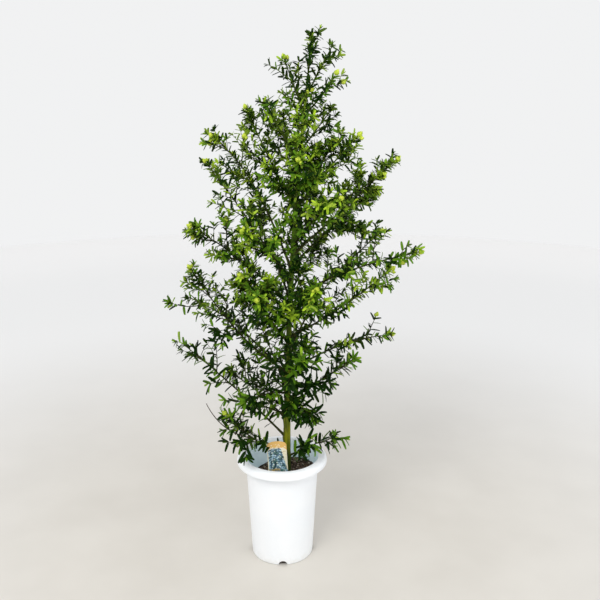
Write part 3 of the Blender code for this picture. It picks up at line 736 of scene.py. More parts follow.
def shoot_stem(owner, index, draw):
    """One of a limb's side shoots as a twig. The last ones carry the limb's flower buds."""
    foot, tip, _, share = limb_shoots[owner][index]
    bow = UP * SHOOT_BOW_UP + draw.normal(0, SHOOT_BOW_VARIES, 3)
    lift = bow * TWIG_LIFT * np.linalg.norm(tip - foot)
    bud = int(len(limb_shoots[owner]) - index < LIMBS[owner].buds)
    return Twig(foot, tip, lift, *SHOOT_RADII, share, bud, deal_tone(draw, foot[2], share))


def shoot_twigs(owner, stem, roll, draw):
    """Twigs at a side shoot's tip and along it. Shoots near the trunk carry one more."""
    ahead = unit(stem.tip - stem.foot)
    outward = mix(stem.share, 1, SHOOT_TIP_OUTWARD)
    fine = []
    for side in range(SHOOT_TIP_TWIGS):
        foot = line_point(stem, SHOOT_TIP_FROM - SHOOT_TIP_STEP * side)
        fine += grow_twigs(owner, foot, outward, ahead, math.pi * side, TIP_TWIG_OPEN, draw)
    places = 2 if stem.share < LEAFY_SHARE else 1
    for place in range(places):
        foot = line_point(stem, (place + 1) / (places + 1))
        turn = roll + math.pi * place
        fine += grow_twigs(owner, foot, stem.share, ahead, turn, TWIG_OPEN, draw)
    return fine


def twigs_of(owner):
    """A limb's side shoots as thick twigs, and all fine twigs on them and on the limb."""
    draw = np.random.default_rng(TWIG_SEED + owner + THROW_STEP * LIMBS[owner].throw)
    thick, fine = [], tip_twigs(owner, draw)
    for index, shoot in enumerate(limb_shoots[owner]):
        thick.append(shoot_stem(owner, index, draw))
        fine += shoot_twigs(owner, thick[-1], shoot.roll, draw)
    return thick, fine + stem_twigs(owner, draw)


grown = [twigs_of(owner) for owner in range(len(LIMBS))]
shoots = [twig for thick, fine in grown for twig in thick]
twigs = [twig for thick, fine in grown for twig in fine]
print(len(shoots), "shoots and", len(twigs), "fine twigs")

# %% [markdown]
# ## Where the leaves stand
# Leaves are alternate: each stands a golden angle round from the last, tilted out from its
# twig, and the ones at a tip close up into a rosette. Down low the leaves are long and hang,
# up high they are small and stiff. Each leaf is set down as its foot, its heading, the
# direction that its face looks in, its length and its tone. No mesh is made yet, because some
# of the leaves are taken out again further on, and rows of plain arrays are easy to thin.

# %% Leaf sites
LEAF_SIZES = ((0.30, 0.47, 0.55, 0.67, 1.05), (0.0285, 0.0275, 0.0208, 0.0180, 0.0180))
TILT_VARIES = 0.13
SAG = ((0.30, 0.75), (0.42, 0.04))
SAG_VARIES = (0.3, 1.0)
STIFF_BELOW = 0.012
FACE_AHEAD = 0.8
FACE_UP = 0.6
FACE_VARIES = 0.42
sites = []


def leaf_size(height):
    """Real leaves are long at the foot of the plant and short from the middle upwards."""
    return np.interp(height, *LEAF_SIZES)


def set_leaves(foot, ahead, turn, tilt, size, tone, draw):
    """Heading = ahead cos(tilt) + around sin(tilt), less a sag that fades with height. The
    face looks partly up the twig, partly to the sky, and partly anywhere."""
    count = len(foot)
    around = spun(square_to(ahead), ahead, turn)
    tilt = np.asarray(tilt) + draw.normal(0, TILT_VARIES, count)
    heading = ahead * np.cos(tilt)[:, None] + around * np.sin(tilt)[:, None]
    sag = np.interp(foot[:, 2], *SAG) * draw.uniform(*SAG_VARIES, count)
    heading = unit(heading - UP * (sag * (size > STIFF_BELOW))[:, None])
    face = ahead * FACE_AHEAD + UP * FACE_UP + draw.normal(0, FACE_VARIES, (count, 3))
    sites.append((foot, heading, face, size, np.asarray(tone) + np.zeros(count, int)))


print("leaf length low and high:", leaf_size(0.3), "and", leaf_size(1.0), "m")

# %% Rows of leaves
SPACING_SHARES = ((0.47, 0.55, 0.68, 0.85, 1.00), (1.00, 0.70, 0.60, 0.68, 0.95))
LEAF_TILT = math.radians(64)
LEAF_TILT_TIP = math.radians(47)
STEP_VARIES = 0.5
TURN_VARIES = 0.2
SIZE_VARIES = (0.78, 1.12)
FRESHER_BELOW = 0.20
DEEPER_ABOVE = 0.62


def leaf_row(line, length, start, end, spacing, tone, draw):
    """Leaves at even steps along a line, each a golden angle on from the last. A few near the
    line's tip are a tone fresher, and more are a tone deeper."""
    spacing = spacing * np.interp(line(np.array(0.5))[2], *SPACING_SHARES)
    count = max(2, round(length * (end - start) / spacing))
    steps = np.arange(count) + draw.uniform(0, STEP_VARIES, count)
    along = start + (end - start) * steps / count
    foot = line(along)
    ahead = unit(line(along + LINE_STEP) - line(along - LINE_STEP))
    turn = GOLDEN_TURN * np.arange(count) + draw.uniform(0, math.tau)
    turn = turn + draw.normal(0, TURN_VARIES, count)
    tilt = mix(LEAF_TILT, LEAF_TILT_TIP, along ** 2)
    size = leaf_size(foot[:, 2]) * draw.uniform(*SIZE_VARIES, count)
    chance = draw.random(count)
    fresher = np.clip(tone + (chance < FRESHER_BELOW * along) - (chance > DEEPER_ABOVE), 0, 3)
    set_leaves(foot, ahead, turn, tilt, size, fresher, draw)


print("leaves stand", np.interp(0.68, *SPACING_SHARES), "as far apart in the middle as low down")

# %% Rosettes
ROSETTE = 3
YOUNG_LEAVES = 2
YOUNG_TILT = math.radians(12)
YOUNG_SIZE = 0.45
ROSETTE_FROM = 0.97
ROSETTE_DEPTH = 0.006
ROSETTE_TILTS = (1.00, 0.55)
ROSETTE_SIZES = (0.95, 0.72)
FRESH_TIP_CHANCE = ((0.30, 0.50, 0.65, 0.80, 0.95, 1.10), (0.05, 0.10, 0.34, 0.42, 0.42, 0.20))


def rosette(line, tone, size_share, draw):
    """Leaves that close up round a twig's tip, and a few very young ones inside them."""
    tip = line(np.array(1.0))
    ahead = unit(tip - line(np.array(ROSETTE_FROM)))
    count = ROSETTE + YOUNG_LEAVES
    inner = np.arange(count) >= ROSETTE
    turn = GOLDEN_TURN * np.arange(count) + draw.uniform(0, math.tau)
    tilt = np.where(inner, YOUNG_TILT, np.linspace(*ROSETTE_TILTS, count))
    foot = tip - ahead * np.linspace(ROSETTE_DEPTH, 0.0, count)[:, None]
    shares = np.where(inner, YOUNG_SIZE, np.linspace(*ROSETTE_SIZES, count))
    size = leaf_size(tip[2]) * size_share * shares
    fresh = int(draw.random() < np.interp(tip[2], *FRESH_TIP_CHANCE))
    fresher = np.clip(tone + fresh + inner * (1 + fresh), 0, 3)
    set_leaves(foot, np.tile(ahead, (count, 1)), turn, tilt, size, fresher, draw)


print("a rosette has", ROSETTE + YOUNG_LEAVES, "leaves")

# %% Leaves on limbs, shoots and twigs
SITE_SEED = 77
STEM_SPACING = 0.0070
SHOOT_LEAF_SPACING = 0.0076
TWIG_LEAF_SPACING = 0.0086
STEM_LEAVES_LEAST = 0.05
STEM_LEAVES_FROM = 0.4
LIMB_ROSETTE = 0.95
SHOOT_ROSETTE = 0.92
TWIG_ROSETTE = 0.86
SHOOT_LEAVES = (0.10, 0.97)
TWIG_LEAVES = (0.14, 0.95)
LIMB_TONE = 1


def fine_stem_point(limb, along):
    """The limb's line, drawn in so that 1 is the tip of its fine stem."""
    return limb_point(limb, stem_tip(limb) * along)


def clad(twig, ends, spacing, rosette_size, draw):
    """A twig in leaf: a row from one share of it to another, and a rosette at its tip."""
    line = partial(line_point, twig)
    leaf_row(line, np.linalg.norm(twig.tip - twig.foot), *ends, spacing, twig.tone, draw)
    rosette(line, twig.tone, rosette_size, draw)


draw = np.random.default_rng(SITE_SEED)
for limb in LIMBS:
    first = max(STEM_LEAVES_LEAST, STEM_LEAVES_FROM * foliage_start(limb))
    row = (limb_length(limb), first, stem_tip(limb), STEM_SPACING)
    leaf_row(partial(limb_point, limb), *row, LIMB_TONE, draw)
    rosette(partial(fine_stem_point, limb), LIMB_TONE, LIMB_ROSETTE, draw)
for twig in shoots:
    clad(twig, SHOOT_LEAVES, SHOOT_LEAF_SPACING, SHOOT_ROSETTE, draw)
for twig in twigs:
    clad(twig, TWIG_LEAVES, TWIG_LEAF_SPACING, TWIG_ROSETTE, draw)
print(sum(len(site[0]) for site in sites), "leaves set")

# %% [markdown]
# ## The long sprig
# One shoot of the far left limb has run out far past its neighbours, towards the front left.
# It is nearly bare but for its tip, so it gets its own cell and a wide leaf spacing.

# %% Long sprig
SPRIG_FOOT_SHARE = 0.80
SPRIG_TIP = np.array((-0.2460, -0.0100, 0.6200))
SPRIG_LIFT = np.array((0.0, 0.0, -0.0080))
SPRIG_RADII = (0.0014, 0.0006)
SPRIG_LEAVES = (0.35, 0.90)
SPRIG_SPACING = 0.0150
SPRIG_TIP_LEAVES = (0.88, 1.00)
SPRIG_TIP_SPACING = 0.0026
far_left = next(limb for limb in LIMBS if limb.name == "far_left")
sprig_foot = limb_point(far_left, SPRIG_FOOT_SHARE)
sprig = Twig(sprig_foot, SPRIG_TIP, SPRIG_LIFT, *SPRIG_RADII, 1.0, 0, 1)
sprig_length = np.linalg.norm(sprig.tip - sprig.foot)
sprig_line = partial(line_point, sprig)
leaf_row(sprig_line, sprig_length, *SPRIG_LEAVES, SPRIG_SPACING, 0, draw)
leaf_row(sprig_line, sprig_length, *SPRIG_TIP_LEAVES, SPRIG_TIP_SPACING, 1, draw)
rosette(sprig_line, 1, 1.0, draw)
shoots.append(sprig)
print("sprig", round(sprig_length, 3), "m long")

# %% [markdown]
# ## Leaves on the leader
# The leader itself carries single leaves on its upper part, where it is a young green stem,
# and short leafy tufts among the limbs nearly all the way up. They fill the crown's middle.

# %% Leader leaves
LEADER_LEAVES_FROM = 0.74
TUFTS_FROM = 0.325
TUFTS_BELOW_TOP = 0.03
TUFT_SPACING = 0.008
TUFT_LENGTH = 0.046
TUFT_VARIES = (0.7, 1.2)
TUFT_RISE = 0.75
TUFT_RISE_VARIES = 0.2
TUFT_SHARE = 0.3
TUFT_FRESH_CHANCE = 0.5
TUFT_LEAVES = (0.25, 0.95)
leader_run = TRUNK_TOP - LEADER_LEAVES_FROM


def leader_point(along):
    """The trunk's line from the height where its own leaves begin, at 0, to its top, at 1."""
    return trunk_axis(LEADER_LEAVES_FROM + leader_run * along)


leaf_row(leader_point, leader_run, 0.0, 1.0, STEM_SPACING, 1, draw)
tufts = []
for index, height in enumerate(np.arange(TUFTS_FROM, TRUNK_TOP - TUFTS_BELOW_TOP, TUFT_SPACING)):
    bearing = GOLDEN_TURN * index
    rise = TUFT_RISE + draw.uniform(-TUFT_RISE_VARIES, TUFT_RISE_VARIES)
    run = unit(np.array((math.cos(bearing), math.sin(bearing), rise)))
    foot = trunk_axis(height)
    length = TUFT_LENGTH * draw.uniform(*TUFT_VARIES)
    lift = UP * TWIG_LIFT * length
    tone = int(draw.random() < TUFT_FRESH_CHANCE)
    tufts.append(Twig(foot, foot + run * length, lift, *TWIG_RADII, TUFT_SHARE, 0, tone))
    clad(tufts[-1], TUFT_LEAVES, TWIG_LEAF_SPACING, TWIG_ROSETTE, draw)
print(len(tufts), "tufts on the leader")

# %% [markdown]
# ## Leaves that would touch wood
# A real leaf bends round a stem that is in its way. The rule here is plainer: a leaf is left
# out if its tip would lie in a limb, or its tip or middle in the trunk or before the label.

# %% Gather and thin the leaves
foot, heading, face, size, tone = (np.concatenate(part) for part in zip(*sites))
LEAF_PROBES = (0.45, 1.0)
LEAF_CLEAR = 0.0012
CARD_ROOM = np.array(((-0.030, -0.075, 0.0), (0.022, -0.010, 0.345)))
BATCH = 1500


def off_card(points):
    """True outside the box of air that is kept free round the plant label and in front of it."""
    return ~((points > CARD_ROOM[0]) & (points < CARD_ROOM[1])).all(-1)


clear = np.ones(len(foot), bool)
for reach in LEAF_PROBES:
    probe = foot + heading * size[:, None] * reach
    near = [limb_distances(probe[low:low + BATCH]).min(-1) for low in range(0, len(probe), BATCH)]
    clear &= (np.concatenate(near) > LIMB_TIP_RADIUS + LEAF_CLEAR) | (reach < 1)
    clear &= off_trunk(probe, LEAF_CLEAR)
    clear &= off_card(probe)
foot, heading, face, size, tone = (part[clear] for part in (foot, heading, face, size, tone))
print(len(foot), "leaves kept, by tone:", np.bincount(tone, minlength=4))

# %% [markdown]
# ## The leaf
# A leaf is about three to four times as long as wide, widest near its middle and blunt at its
# tip, folded a little along its midrib and curled back. Its upper and lower faces are two sheets
# that meet all round the edge, because the lower one is paler, and together they give the
# blade its thickness. A flat card with a leaf's picture on it is the usual short cut. It has
# no fold to catch the light, though, and this shape takes only ten quads a sheet.

# %% Shape of a leaf
LEAF_ROWS = np.array((0.0, 0.12, 0.36, 0.64, 0.90, 1.0))
LEAF_COLUMNS = np.array((-1.0, 0.0, 1.0))
LEAF_WIDTHS = ((0.0150, 0.0200, 0.0290), (0.36, 0.285, 0.255))
LEAF_ENDS = (0.20, 0.44)
LEAF_WIDEST = 0.8
LEAF_BLUNT = 0.45
LEAF_FOLD = 0.28
LEAF_THICK = 0.00035
CURLS = (0.02, 0.22)


def blades(foot, heading, face, size, under, seed):
    """Point = foot + heading L u + side v W(u)/2 + normal (fold |v| W(u)/2 - curl L u^2), with
    W(u) = width (e + (1 - e) sin(pi u^0.8)^0.45) and e rising from 0.20 at the foot to 0.44 at
    the tip. Small leaves are the wider for their length. The underside lies lower by the
    thickness times (1 - |v|) sin(pi u)."""
    draw = np.random.default_rng(seed)
    normal = unit(face - (face * heading).sum(-1, keepdims=True) * heading)
    side = np.cross(heading, normal)
    curl = draw.uniform(*CURLS, len(foot))[:, None, None]
    u = LEAF_ROWS[None, :, None]
    v = LEAF_COLUMNS[None, None, :]
    length = size[:, None, None]
    ends = mix(*LEAF_ENDS, u)
    swell = ends + (1 - ends) * np.sin(math.pi * u ** LEAF_WIDEST).clip(0) ** LEAF_BLUNT
    width = np.interp(length, *LEAF_WIDTHS)
    half = length * width / 2 * swell
    lift = LEAF_FOLD * np.abs(v) * half - curl * length * u ** 2
    if under:
        lift = lift - LEAF_THICK * (1 - np.abs(v)) * np.sin(math.pi * u)
    points = foot[:, None, None] + heading[:, None, None] * (length * (u + 0 * v))[..., None]
    points = points + side[:, None, None] * (half * v)[..., None]
    return points + normal[:, None, None] * lift[..., None]


def blade_faces(count, under=False):
    """The quads of many blades. An underside's run the other way round."""
    rows, columns = len(LEAF_ROWS), len(LEAF_COLUMNS)
    quads = grid_faces(rows, columns)
    return [repeated(quads if under else quads[:, ::-1], count, rows * columns)]


print("a leaf's face has", len(LEAF_ROWS) * len(LEAF_COLUMNS), "points")

# %% [markdown]
# The leaves are dealt into four tones, from a deep green, partly old leaves and partly painted
# shade, to the lime of the youngest. Each tone is one piece with one waxy finish, so a patch of
# colour is a matter of which leaves are in which piece, and the finish only adds the small
# drifts that every leaf has.

# %% Leaf pieces
# The deep tone, dealt to low and inner leaves, is partly painted shade.
LEAF_TONES = (
    ("leaves_deep", (0.006, 0.028, 0.001), 0.48, 0.3),
    ("leaves_green", (0.080, 0.200, 0.010), 0.48, 0.3),
    ("leaves_fresh", (0.250, 0.450, 0.026), 0.50, 0.3),
    ("leaves_lime", (0.340, 0.520, 0.030), 0.50, 0.12),
)
UNDER_TONES = (
    ("deep_undersides", tone == 0, (0.020, 0.052, 0.004)),
    ("green_undersides", tone == 1, (0.088, 0.180, 0.022)),
    ("fresh_undersides", tone >= 2, (0.250, 0.410, 0.050)),
)
UNDER_ROUGHNESS = 0.60
UNDER_SPREAD = 0.3
LEAF_SEED = 5


def leaf_finish(name, colour, roughness, spread):
    """Waxy leaf: one green with cloudy darker and yellower drifts, and a fine-grained gloss."""
    finish = Finish(name, colour, roughness, Specular_IOR_Level=0.05)
    deeper = tuple(value * (1 - spread) for value in colour)
    yellower = (min(colour[0] * (1 + 1.2 * spread), 1), colour[1] * (1 + 0.4 * spread), colour[2])
    drift = finish.noise(38, 3)
    speckle = finish.noise(420, 2)
    shade = finish.blend(drift.above(0.5, 0.16), deeper, yellower)
    finish.drive("Base Color", finish.blend(speckle.above(0.58, 0.12) * 0.35, shade, colour))
    finish.drive("Roughness", drift * 0.16 + (roughness - 0.08))
    finish.bump(speckle, 0.00025)
    return finish.material


def add_leaves(name, chosen, finish, under=False, nodes=()):
    """One piece of the upper or the lower sheets of many blades."""
    picked = (foot[chosen], heading[chosen], face[chosen], size[chosen])
    faces = blade_faces(int(chosen.sum()), under)
    return add_piece(name, blades(*picked, under, LEAF_SEED), faces, finish, "leaves", nodes)


mass_nodes = ["leaves_" + limb.name for limb in LIMBS]
for index, (name, colour, roughness, spread) in enumerate(LEAF_TONES):
    nodes = mass_nodes if index == 0 else ()
    add_leaves(name, tone == index, leaf_finish(name, colour, roughness, spread), nodes=nodes)
for name, chosen, colour in UNDER_TONES:
    add_leaves(name, chosen, leaf_finish(name, colour, UNDER_ROUGHNESS, UNDER_SPREAD), under=True)

# %% [markdown]
# ## Twigs and shoots
# All fine twigs are stacks of thin tubes. A curve with a bevel makes one good twig, but for
# thousands it is easier to work out every tube at once, as one mesh. Low and inner wood is
# brown and young wood is green, so the tubes are dealt into two pieces by colour.


# %% Twig finish
def wood_finish(name, colour, dark, streak_scale):
    """Thin bark: streaks along the wood, darker patches, and small pale pores."""
    finish = Finish(name, colour, 0.60, Specular_IOR_Level=0.10)
    streaks = finish.noise(streak_scale, 4, finish.stretched((1, 1, 0.25)))
    patches = finish.noise(35, 2)
    pores = 1 - finish.cells(520).above(0.22, 0.06)
    shade = finish.blend((streaks * 0.6 + patches * 0.5).above(0.56, 0.16), dark, colour)
    pale = tuple(min(value * 1.7 + 0.03, 1) for value in colour)
    finish.drive("Base Color", finish.blend(pores * 0.3, shade, pale))
    finish.drive("Roughness", streaks * 0.2 + 0.45)
    finish.bump(streaks + pores * 0.4, 0.0006)
    return finish.material


twig_brown = wood_finish("brown twig bark", (0.050, 0.056, 0.010), (0.015, 0.018, 0.004), 260)
twig_green = wood_finish("green twig bark", (0.110, 0.170, 0.012), (0.040, 0.066, 0.005), 260)
print("finishes:", twig_brown.name, "and", twig_green.name)

# %% Twig tubes
GREEN_WOOD_FROM = 0.80
FINE_TUBE = (6, 5)
SHOOT_TUBE = (10, 7)


def add_twigs(name, chosen, rings, sides, finish):
    """Tubes along each twig's line: radius falls evenly from foot to tip."""
    along = np.linspace(0, 1, rings)
    points = np.array([line_point(twig, along) for twig in chosen])
    radii = np.array([mix(twig.foot_radius, twig.tip_radius, along) for twig in chosen])
    return add_piece(name, *tubes(points, radii, sides), finish, "bark")


def is_young(twig):
    """Whether a twig's wood is still green: it stands high up, or its leaves are fresh."""
    return twig.foot[2] > GREEN_WOOD_FROM or twig.tone > 1


def add_by_age(name, chosen, rings, sides):
    """The older twigs as one brown piece, and the younger ones as one green piece."""
    older = [twig for twig in chosen if not is_young(twig)]
    younger = [twig for twig in chosen if is_young(twig)]
    add_twigs(name + "_brown", older, rings, sides, twig_brown)
    add_twigs(name + "_green", younger, rings, sides, twig_green)


add_by_age("fine_twigs", twigs + tufts, *FINE_TUBE)
add_by_age("side_shoots", shoots, *SHOOT_TUBE)

# %% [markdown]
# ## Limbs
# A limb is a tube along its line with a collar where it joins the trunk and small knuckles at
# even steps, as leaves leave them. Its foot starts inside the trunk, so that the join shows no
# gap. The stretch that the solid model calls a bough is the same tube, so this one piece
# stands for all boughs. The solid boughs are a little stout, and these are as slim as the
# real ones. All limbs of one colour are worked out together, like the twigs.

# %% Limb tubes
LIMB_RINGS = 60
LIMB_SIDES = 10
LIMB_SLIM = 0.80
COLLAR_SWELL = 0.9
COLLAR_REACH = 0.007
KNUCKLE = 0.00035
KNUCKLE_SHARP = 4


def limb_tubes(chosen):
    """Radius = slim limb radius (1 + collar exp(-s / reach)) + knuckle times a narrow wave of s,
    where s is the way along in metres."""
    points, radii = [], []
    for limb in chosen:
        share = np.linspace(0, stem_tip(limb), LIMB_RINGS)
        along = share * limb_length(limb)
        past_trunk = np.maximum(along - TRUNK_MIDDLE_RADIUS, 0)
        collar = 1 + COLLAR_SWELL * np.exp(-past_trunk / COLLAR_REACH)
        wave = 0.5 + 0.5 * np.cos(math.tau * along / STEM_SPACING)
        knuckle = KNUCKLE * wave ** KNUCKLE_SHARP
        points.append(limb_point(limb, share))
        radii.append(limb_radius(limb, share) * LIMB_SLIM * collar + knuckle)
    return tubes(np.array(points), np.array(radii), LIMB_SIDES)


limb_brown = wood_finish("olive bough bark", (0.050, 0.056, 0.010), (0.015, 0.017, 0.004), 180)
limb_green = wood_finish("green stem bark", (0.070, 0.110, 0.009), (0.024, 0.040, 0.004), 180)
low_limbs = [limb for limb in LIMBS if limb.height < GREEN_WOOD_FROM]
high_limbs = [limb for limb in LIMBS if limb.height >= GREEN_WOOD_FROM]
bough_nodes = ["bough_" + limb.name for limb in LIMBS if limb.bare >= BOUGH_LEAST]
add_piece("limbs", *limb_tubes(low_limbs), limb_brown, "bark", bough_nodes)
add_piece("upper_limbs", *limb_tubes(high_limbs), limb_green, "bark")

# %% [markdown]
# ## Trunk
# The trunk is one fine grid, wrapped round its line. Its relief is a sum of four things:
# long shallow ridges, collars where limbs leave, pores that stand up as small pimples, and
# the thickness of the oldest bark, which fades out with height. Bump alone would leave the
# outline smooth. A Displace modifier could move the skin by a texture, but the collars have
# to stand where the limbs leave, so the relief is worked out and added to the radius.

# %% Trunk relief
TRUNK_RINGS = 520
TRUNK_SIDES = 40
TRUNK_SUNK = 0.006
BARK_SEED = 9
RIDGE = 0.00030
RIDGE_WAVES = 9
RIDGE_COUNTS = (3, 12)
RIDGE_BEND = 1.2
RIDGE_BENDS = (12, 40)
RIDGE_TWIST = 25
COLLAR = 0.0018
COLLAR_HALF = 0.0080
COLLAR_SPREAD = 2.5
PORES = 220
PORE = 0.00040
PORE_HALF = 0.0011
PORE_LONG = 1.6
BARK_THICK = 0.0011
OLD_BARK = ((0.35, 0.60), (1, 0))


def turned_from(angle, bearing):
    """How far an angle is from a bearing, from -pi to pi."""
    return (angle - bearing + math.pi) % math.tau - math.pi


height = np.linspace(SOIL_TOP - TRUNK_SUNK, TRUNK_TOP, TRUNK_RINGS)[:, None]
angle = ring_angles(TRUNK_SIDES)[None]
draw = np.random.default_rng(BARK_SEED)
relief = np.zeros((TRUNK_RINGS, TRUNK_SIDES))
for _ in range(RIDGE_WAVES):
    around = draw.integers(*RIDGE_COUNTS)
    phase = draw.uniform(0, math.tau)
    bend = RIDGE_BEND * np.sin(height * draw.uniform(*RIDGE_BENDS) + phase)
    twist = height * draw.uniform(-RIDGE_TWIST, RIDGE_TWIST)
    relief += RIDGE / math.sqrt(RIDGE_WAVES) * np.sin(around * angle + twist + bend)
for limb in LIMBS[:-1]:
    turn = turned_from(angle, math.radians(limb.bearing))
    spread = (turn * TRUNK_MIDDLE_RADIUS / COLLAR_HALF) ** 2 * COLLAR_SPREAD
    relief += COLLAR * np.exp(-((height - limb.height) / COLLAR_HALF) ** 2 - spread)
for _ in range(PORES):
    turn = turned_from(angle, draw.uniform(0, math.tau))
    level = draw.uniform(SOIL_TOP, TRUNK_TOP)
    spread = (turn * TRUNK_MIDDLE_RADIUS / PORE_HALF) ** 2
    relief += PORE * np.exp(-((height - level) / PORE_HALF / PORE_LONG) ** 2 - spread)
relief *= np.clip(trunk_radius(height) / TRUNK_MIDDLE_RADIUS, 0, 1)
relief += BARK_THICK * np.interp(height, *OLD_BARK)
radius = trunk_radius(np.maximum(height, SOIL_TOP)) + relief
out = np.stack([np.cos(angle), np.sin(angle), 0 * angle], -1)
trunk_points = trunk_axis(height[:, 0])[:, None] + out * radius[..., None]
print("the relief stands", round(float(relief.max()) * 1000, 2), "mm high at most")

# %% [markdown]
# Its colour runs from a dark green foot, which is painted shade from the pot's rim and the
# label, over yellow olive to leaf green at the top, in streaks, so the finish reads the height
# from the surface's own coordinates.

# %% Trunk finish
bark = Finish("trunk bark", (0.22, 0.25, 0.05), 0.5, Specular_IOR_Level=0.2)
level = bark.axis("Z")
streaks = bark.noise(190, 5, bark.stretched((1, 1, 0.12)))
patches = bark.noise(26, 3)
pores = 1 - bark.cells(330).above(0.20, 0.05)


def streaked(dark, light):
    """A dark and a light shade of the bark, laid along its streaks."""
    return bark.blend(streaks.above(0.5, 0.14), dark, light)


# Painted shade: the dark green foot below 0.262 m stands for the shade of the pot's rim and the
# label.
painted_shade_foot = streaked((0.020, 0.045, 0.002), (0.060, 0.095, 0.004))
old_olive = streaked((0.080, 0.092, 0.002), (0.230, 0.250, 0.004))
new_green = streaked((0.030, 0.075, 0.002), (0.110, 0.200, 0.004))
tip_green = streaked((0.130, 0.230, 0.006), (0.280, 0.420, 0.015))
lower = bark.blend((level + patches * 0.02).above(0.262, 0.012), painted_shade_foot, old_olive)
upper = bark.blend((level + patches * 0.1).above(0.93, 0.05), new_green, tip_green)
skin = bark.blend((level * 1.9 + patches * 0.7).above(1.20, 0.35), lower, upper)
bark.drive("Base Color", bark.blend(pores * 0.4, skin, (0.34, 0.34, 0.06)))
bark.drive("Roughness", streaks * 0.25 + 0.38)
bark.bump(streaks * 0.8 + pores * 0.5, 0.0009)
trunk_faces = tube_faces(TRUNK_RINGS, TRUNK_SIDES)
add_piece("trunk_bark", trunk_points, trunk_faces, bark.material, "bark", ["trunk"])

# %% [markdown]
# ## Flower buds
# A bud is a pointed egg of overlapping lime green scales. Scale k starts a golden angle round
# from the last and a little higher, hugs the egg, and lifts off it at its own tip. One bud is
# worked out with all its scales, and its points are then set down at every place. It could be
# shaped by hand as well, but a rule keeps the spiral as even as it is on the plant.

# %% Shape of a bud
BUD_LENGTH = 0.0132
BUD_RADIUS = 0.0052
EGG_START = 0.08
EGG_RUN = 0.90
EGG_BLUNT = 0.75
EGG_LEAST = 0.05
SCALES = 18
SCALE_ROWS = np.linspace(0, 1, 5)
SCALE_COLUMNS = np.linspace(-1, 1, 5)
SCALES_UP_TO = 0.80
SCALE_RISE = 0.34
SCALE_SINK = 0.04
SCALE_HALF_TURN = 0.95
SCALE_NARROWS = 0.80
SCALE_LIFT = 0.16
SCALE_HOLLOW = 0.5
SCALE_OVERLAP = 0.03
CORE_RINGS = 9
CORE_SIDES = 10


def egg(rise):
    """Radius share of the bud's egg at a share of its height: sin(pi (0.08 + 0.90 h^0.75))."""
    turn = EGG_START + EGG_RUN * np.clip(rise, 0, 1) ** EGG_BLUNT
    return np.sin(math.pi * turn).clip(EGG_LEAST)


def bud_scales():
    """Scales of one bud along +Z with height 1. Each covers a third of the height, and to
    either side 0.95 - 0.80 u^2 radians of the way round, and it lifts off by u^2."""
    index = np.arange(SCALES)[:, None, None]
    u = SCALE_ROWS[None, :, None]
    v = SCALE_COLUMNS[None, None, :]
    rise = index / SCALES * SCALES_UP_TO + u * SCALE_RISE - SCALE_SINK
    turn = GOLDEN_TURN * index + v * (SCALE_HALF_TURN - SCALE_NARROWS * u ** 2)
    lift = SCALE_LIFT * u ** 2 * (1 - SCALE_HOLLOW * np.abs(v))
    wide = egg(rise) + lift + SCALE_OVERLAP * (1 - index / SCALES)
    return turned(wide * BUD_RADIUS / BUD_LENGTH, turn, rise)


def bud_core():
    """The egg under the scales, turned from its profile."""
    rise = np.linspace(0, 1, CORE_RINGS)[:, None]
    return turned(egg(rise) * BUD_RADIUS / BUD_LENGTH, ring_angles(CORE_SIDES), rise)


def placed(shape, spots, headings, sizes):
    """The shape once for each spot: its +Z along the heading, its height as the size."""
    across = square_to(headings)
    up = np.cross(headings, across)
    flat = shape.reshape(-1, 3)
    place = flat[None, :, :1] * across[:, None] + flat[None, :, 1:2] * up[:, None]
    place = place + flat[None, :, 2:] * headings[:, None]
    return spots[:, None] + place * sizes[:, None, None]


print("points in a bud:", bud_scales().size // 3, "on the scales,", bud_core().size // 3, "below")

# %% [markdown]
# Buds stand at the ends of limbs and shoots, on short stalks. Every second one or so has a
# smaller bud beside it. Which limb ends in buds, and in how many, is in the limb table.

# %% Bud places
BUD_SEED = 31
SIDE_BUD_CHANCE = 0.55
SIDE_BUD_LEAN = 0.9
SIDE_BUD_VARIES = (0.6, 0.85)
SIDE_BUD_SINK = 0.001
SIDE_STALK = 0.009
SIDE_STALK_BACK = 0.008
SIDE_STALK_LIFT = 0.0005
SIDE_STALK_RADII = (0.0006, 0.0005)
BUD_VARIES = (0.85, 1.05)
BUD_SINK = 0.0020
BUD_STALK = 0.0060
STALK_BACK = 0.009
STALK_RADII = (0.0007, 0.0006)
draw = np.random.default_rng(BUD_SEED)
bud_spots, bud_ahead, bud_size, bud_stalks = [], [], [], []


def set_bud(spot, ahead, size):
    """A bud, and beside it at times a smaller one on its own short stalk."""
    bud_spots.append(spot - ahead * BUD_SINK)
    bud_ahead.append(ahead)
    bud_size.append(size)
    bud_stalks.append(Twig(spot - ahead * STALK_BACK, spot, UP * 0, *STALK_RADII, 1.0, 0, 2))
    if draw.random() < SIDE_BUD_CHANCE:
        around = spun(square_to(ahead), ahead, draw.uniform(0, math.tau))
        lean = unit(ahead + around * SIDE_BUD_LEAN)
        foot = spot - ahead * SIDE_STALK_BACK
        tip = foot + lean * SIDE_STALK
        bud_stalks.append(Twig(foot, tip, UP * SIDE_STALK_LIFT, *SIDE_STALK_RADII, 1.0, 0, 2))
        bud_spots.append(tip - lean * SIDE_BUD_SINK)
        bud_ahead.append(lean)
        bud_size.append(size * draw.uniform(*SIDE_BUD_VARIES))


for owner, limb in enumerate(LIMBS):
    if limb.buds:
        end = stem_tip(limb)
        ahead = limb_ahead(limb, end)
        set_bud(limb_point(limb, end) + ahead * BUD_STALK, ahead, BUD_LENGTH)
    for twig in grown[owner][0]:
        if twig.bud:
            ahead = unit(twig.tip - twig.foot)
            set_bud(twig.tip + ahead * BUD_STALK, ahead, BUD_LENGTH * draw.uniform(*BUD_VARIES))
places = (np.array(bud_spots), np.array(bud_ahead), np.array(bud_size))
print(len(bud_spots), "buds")

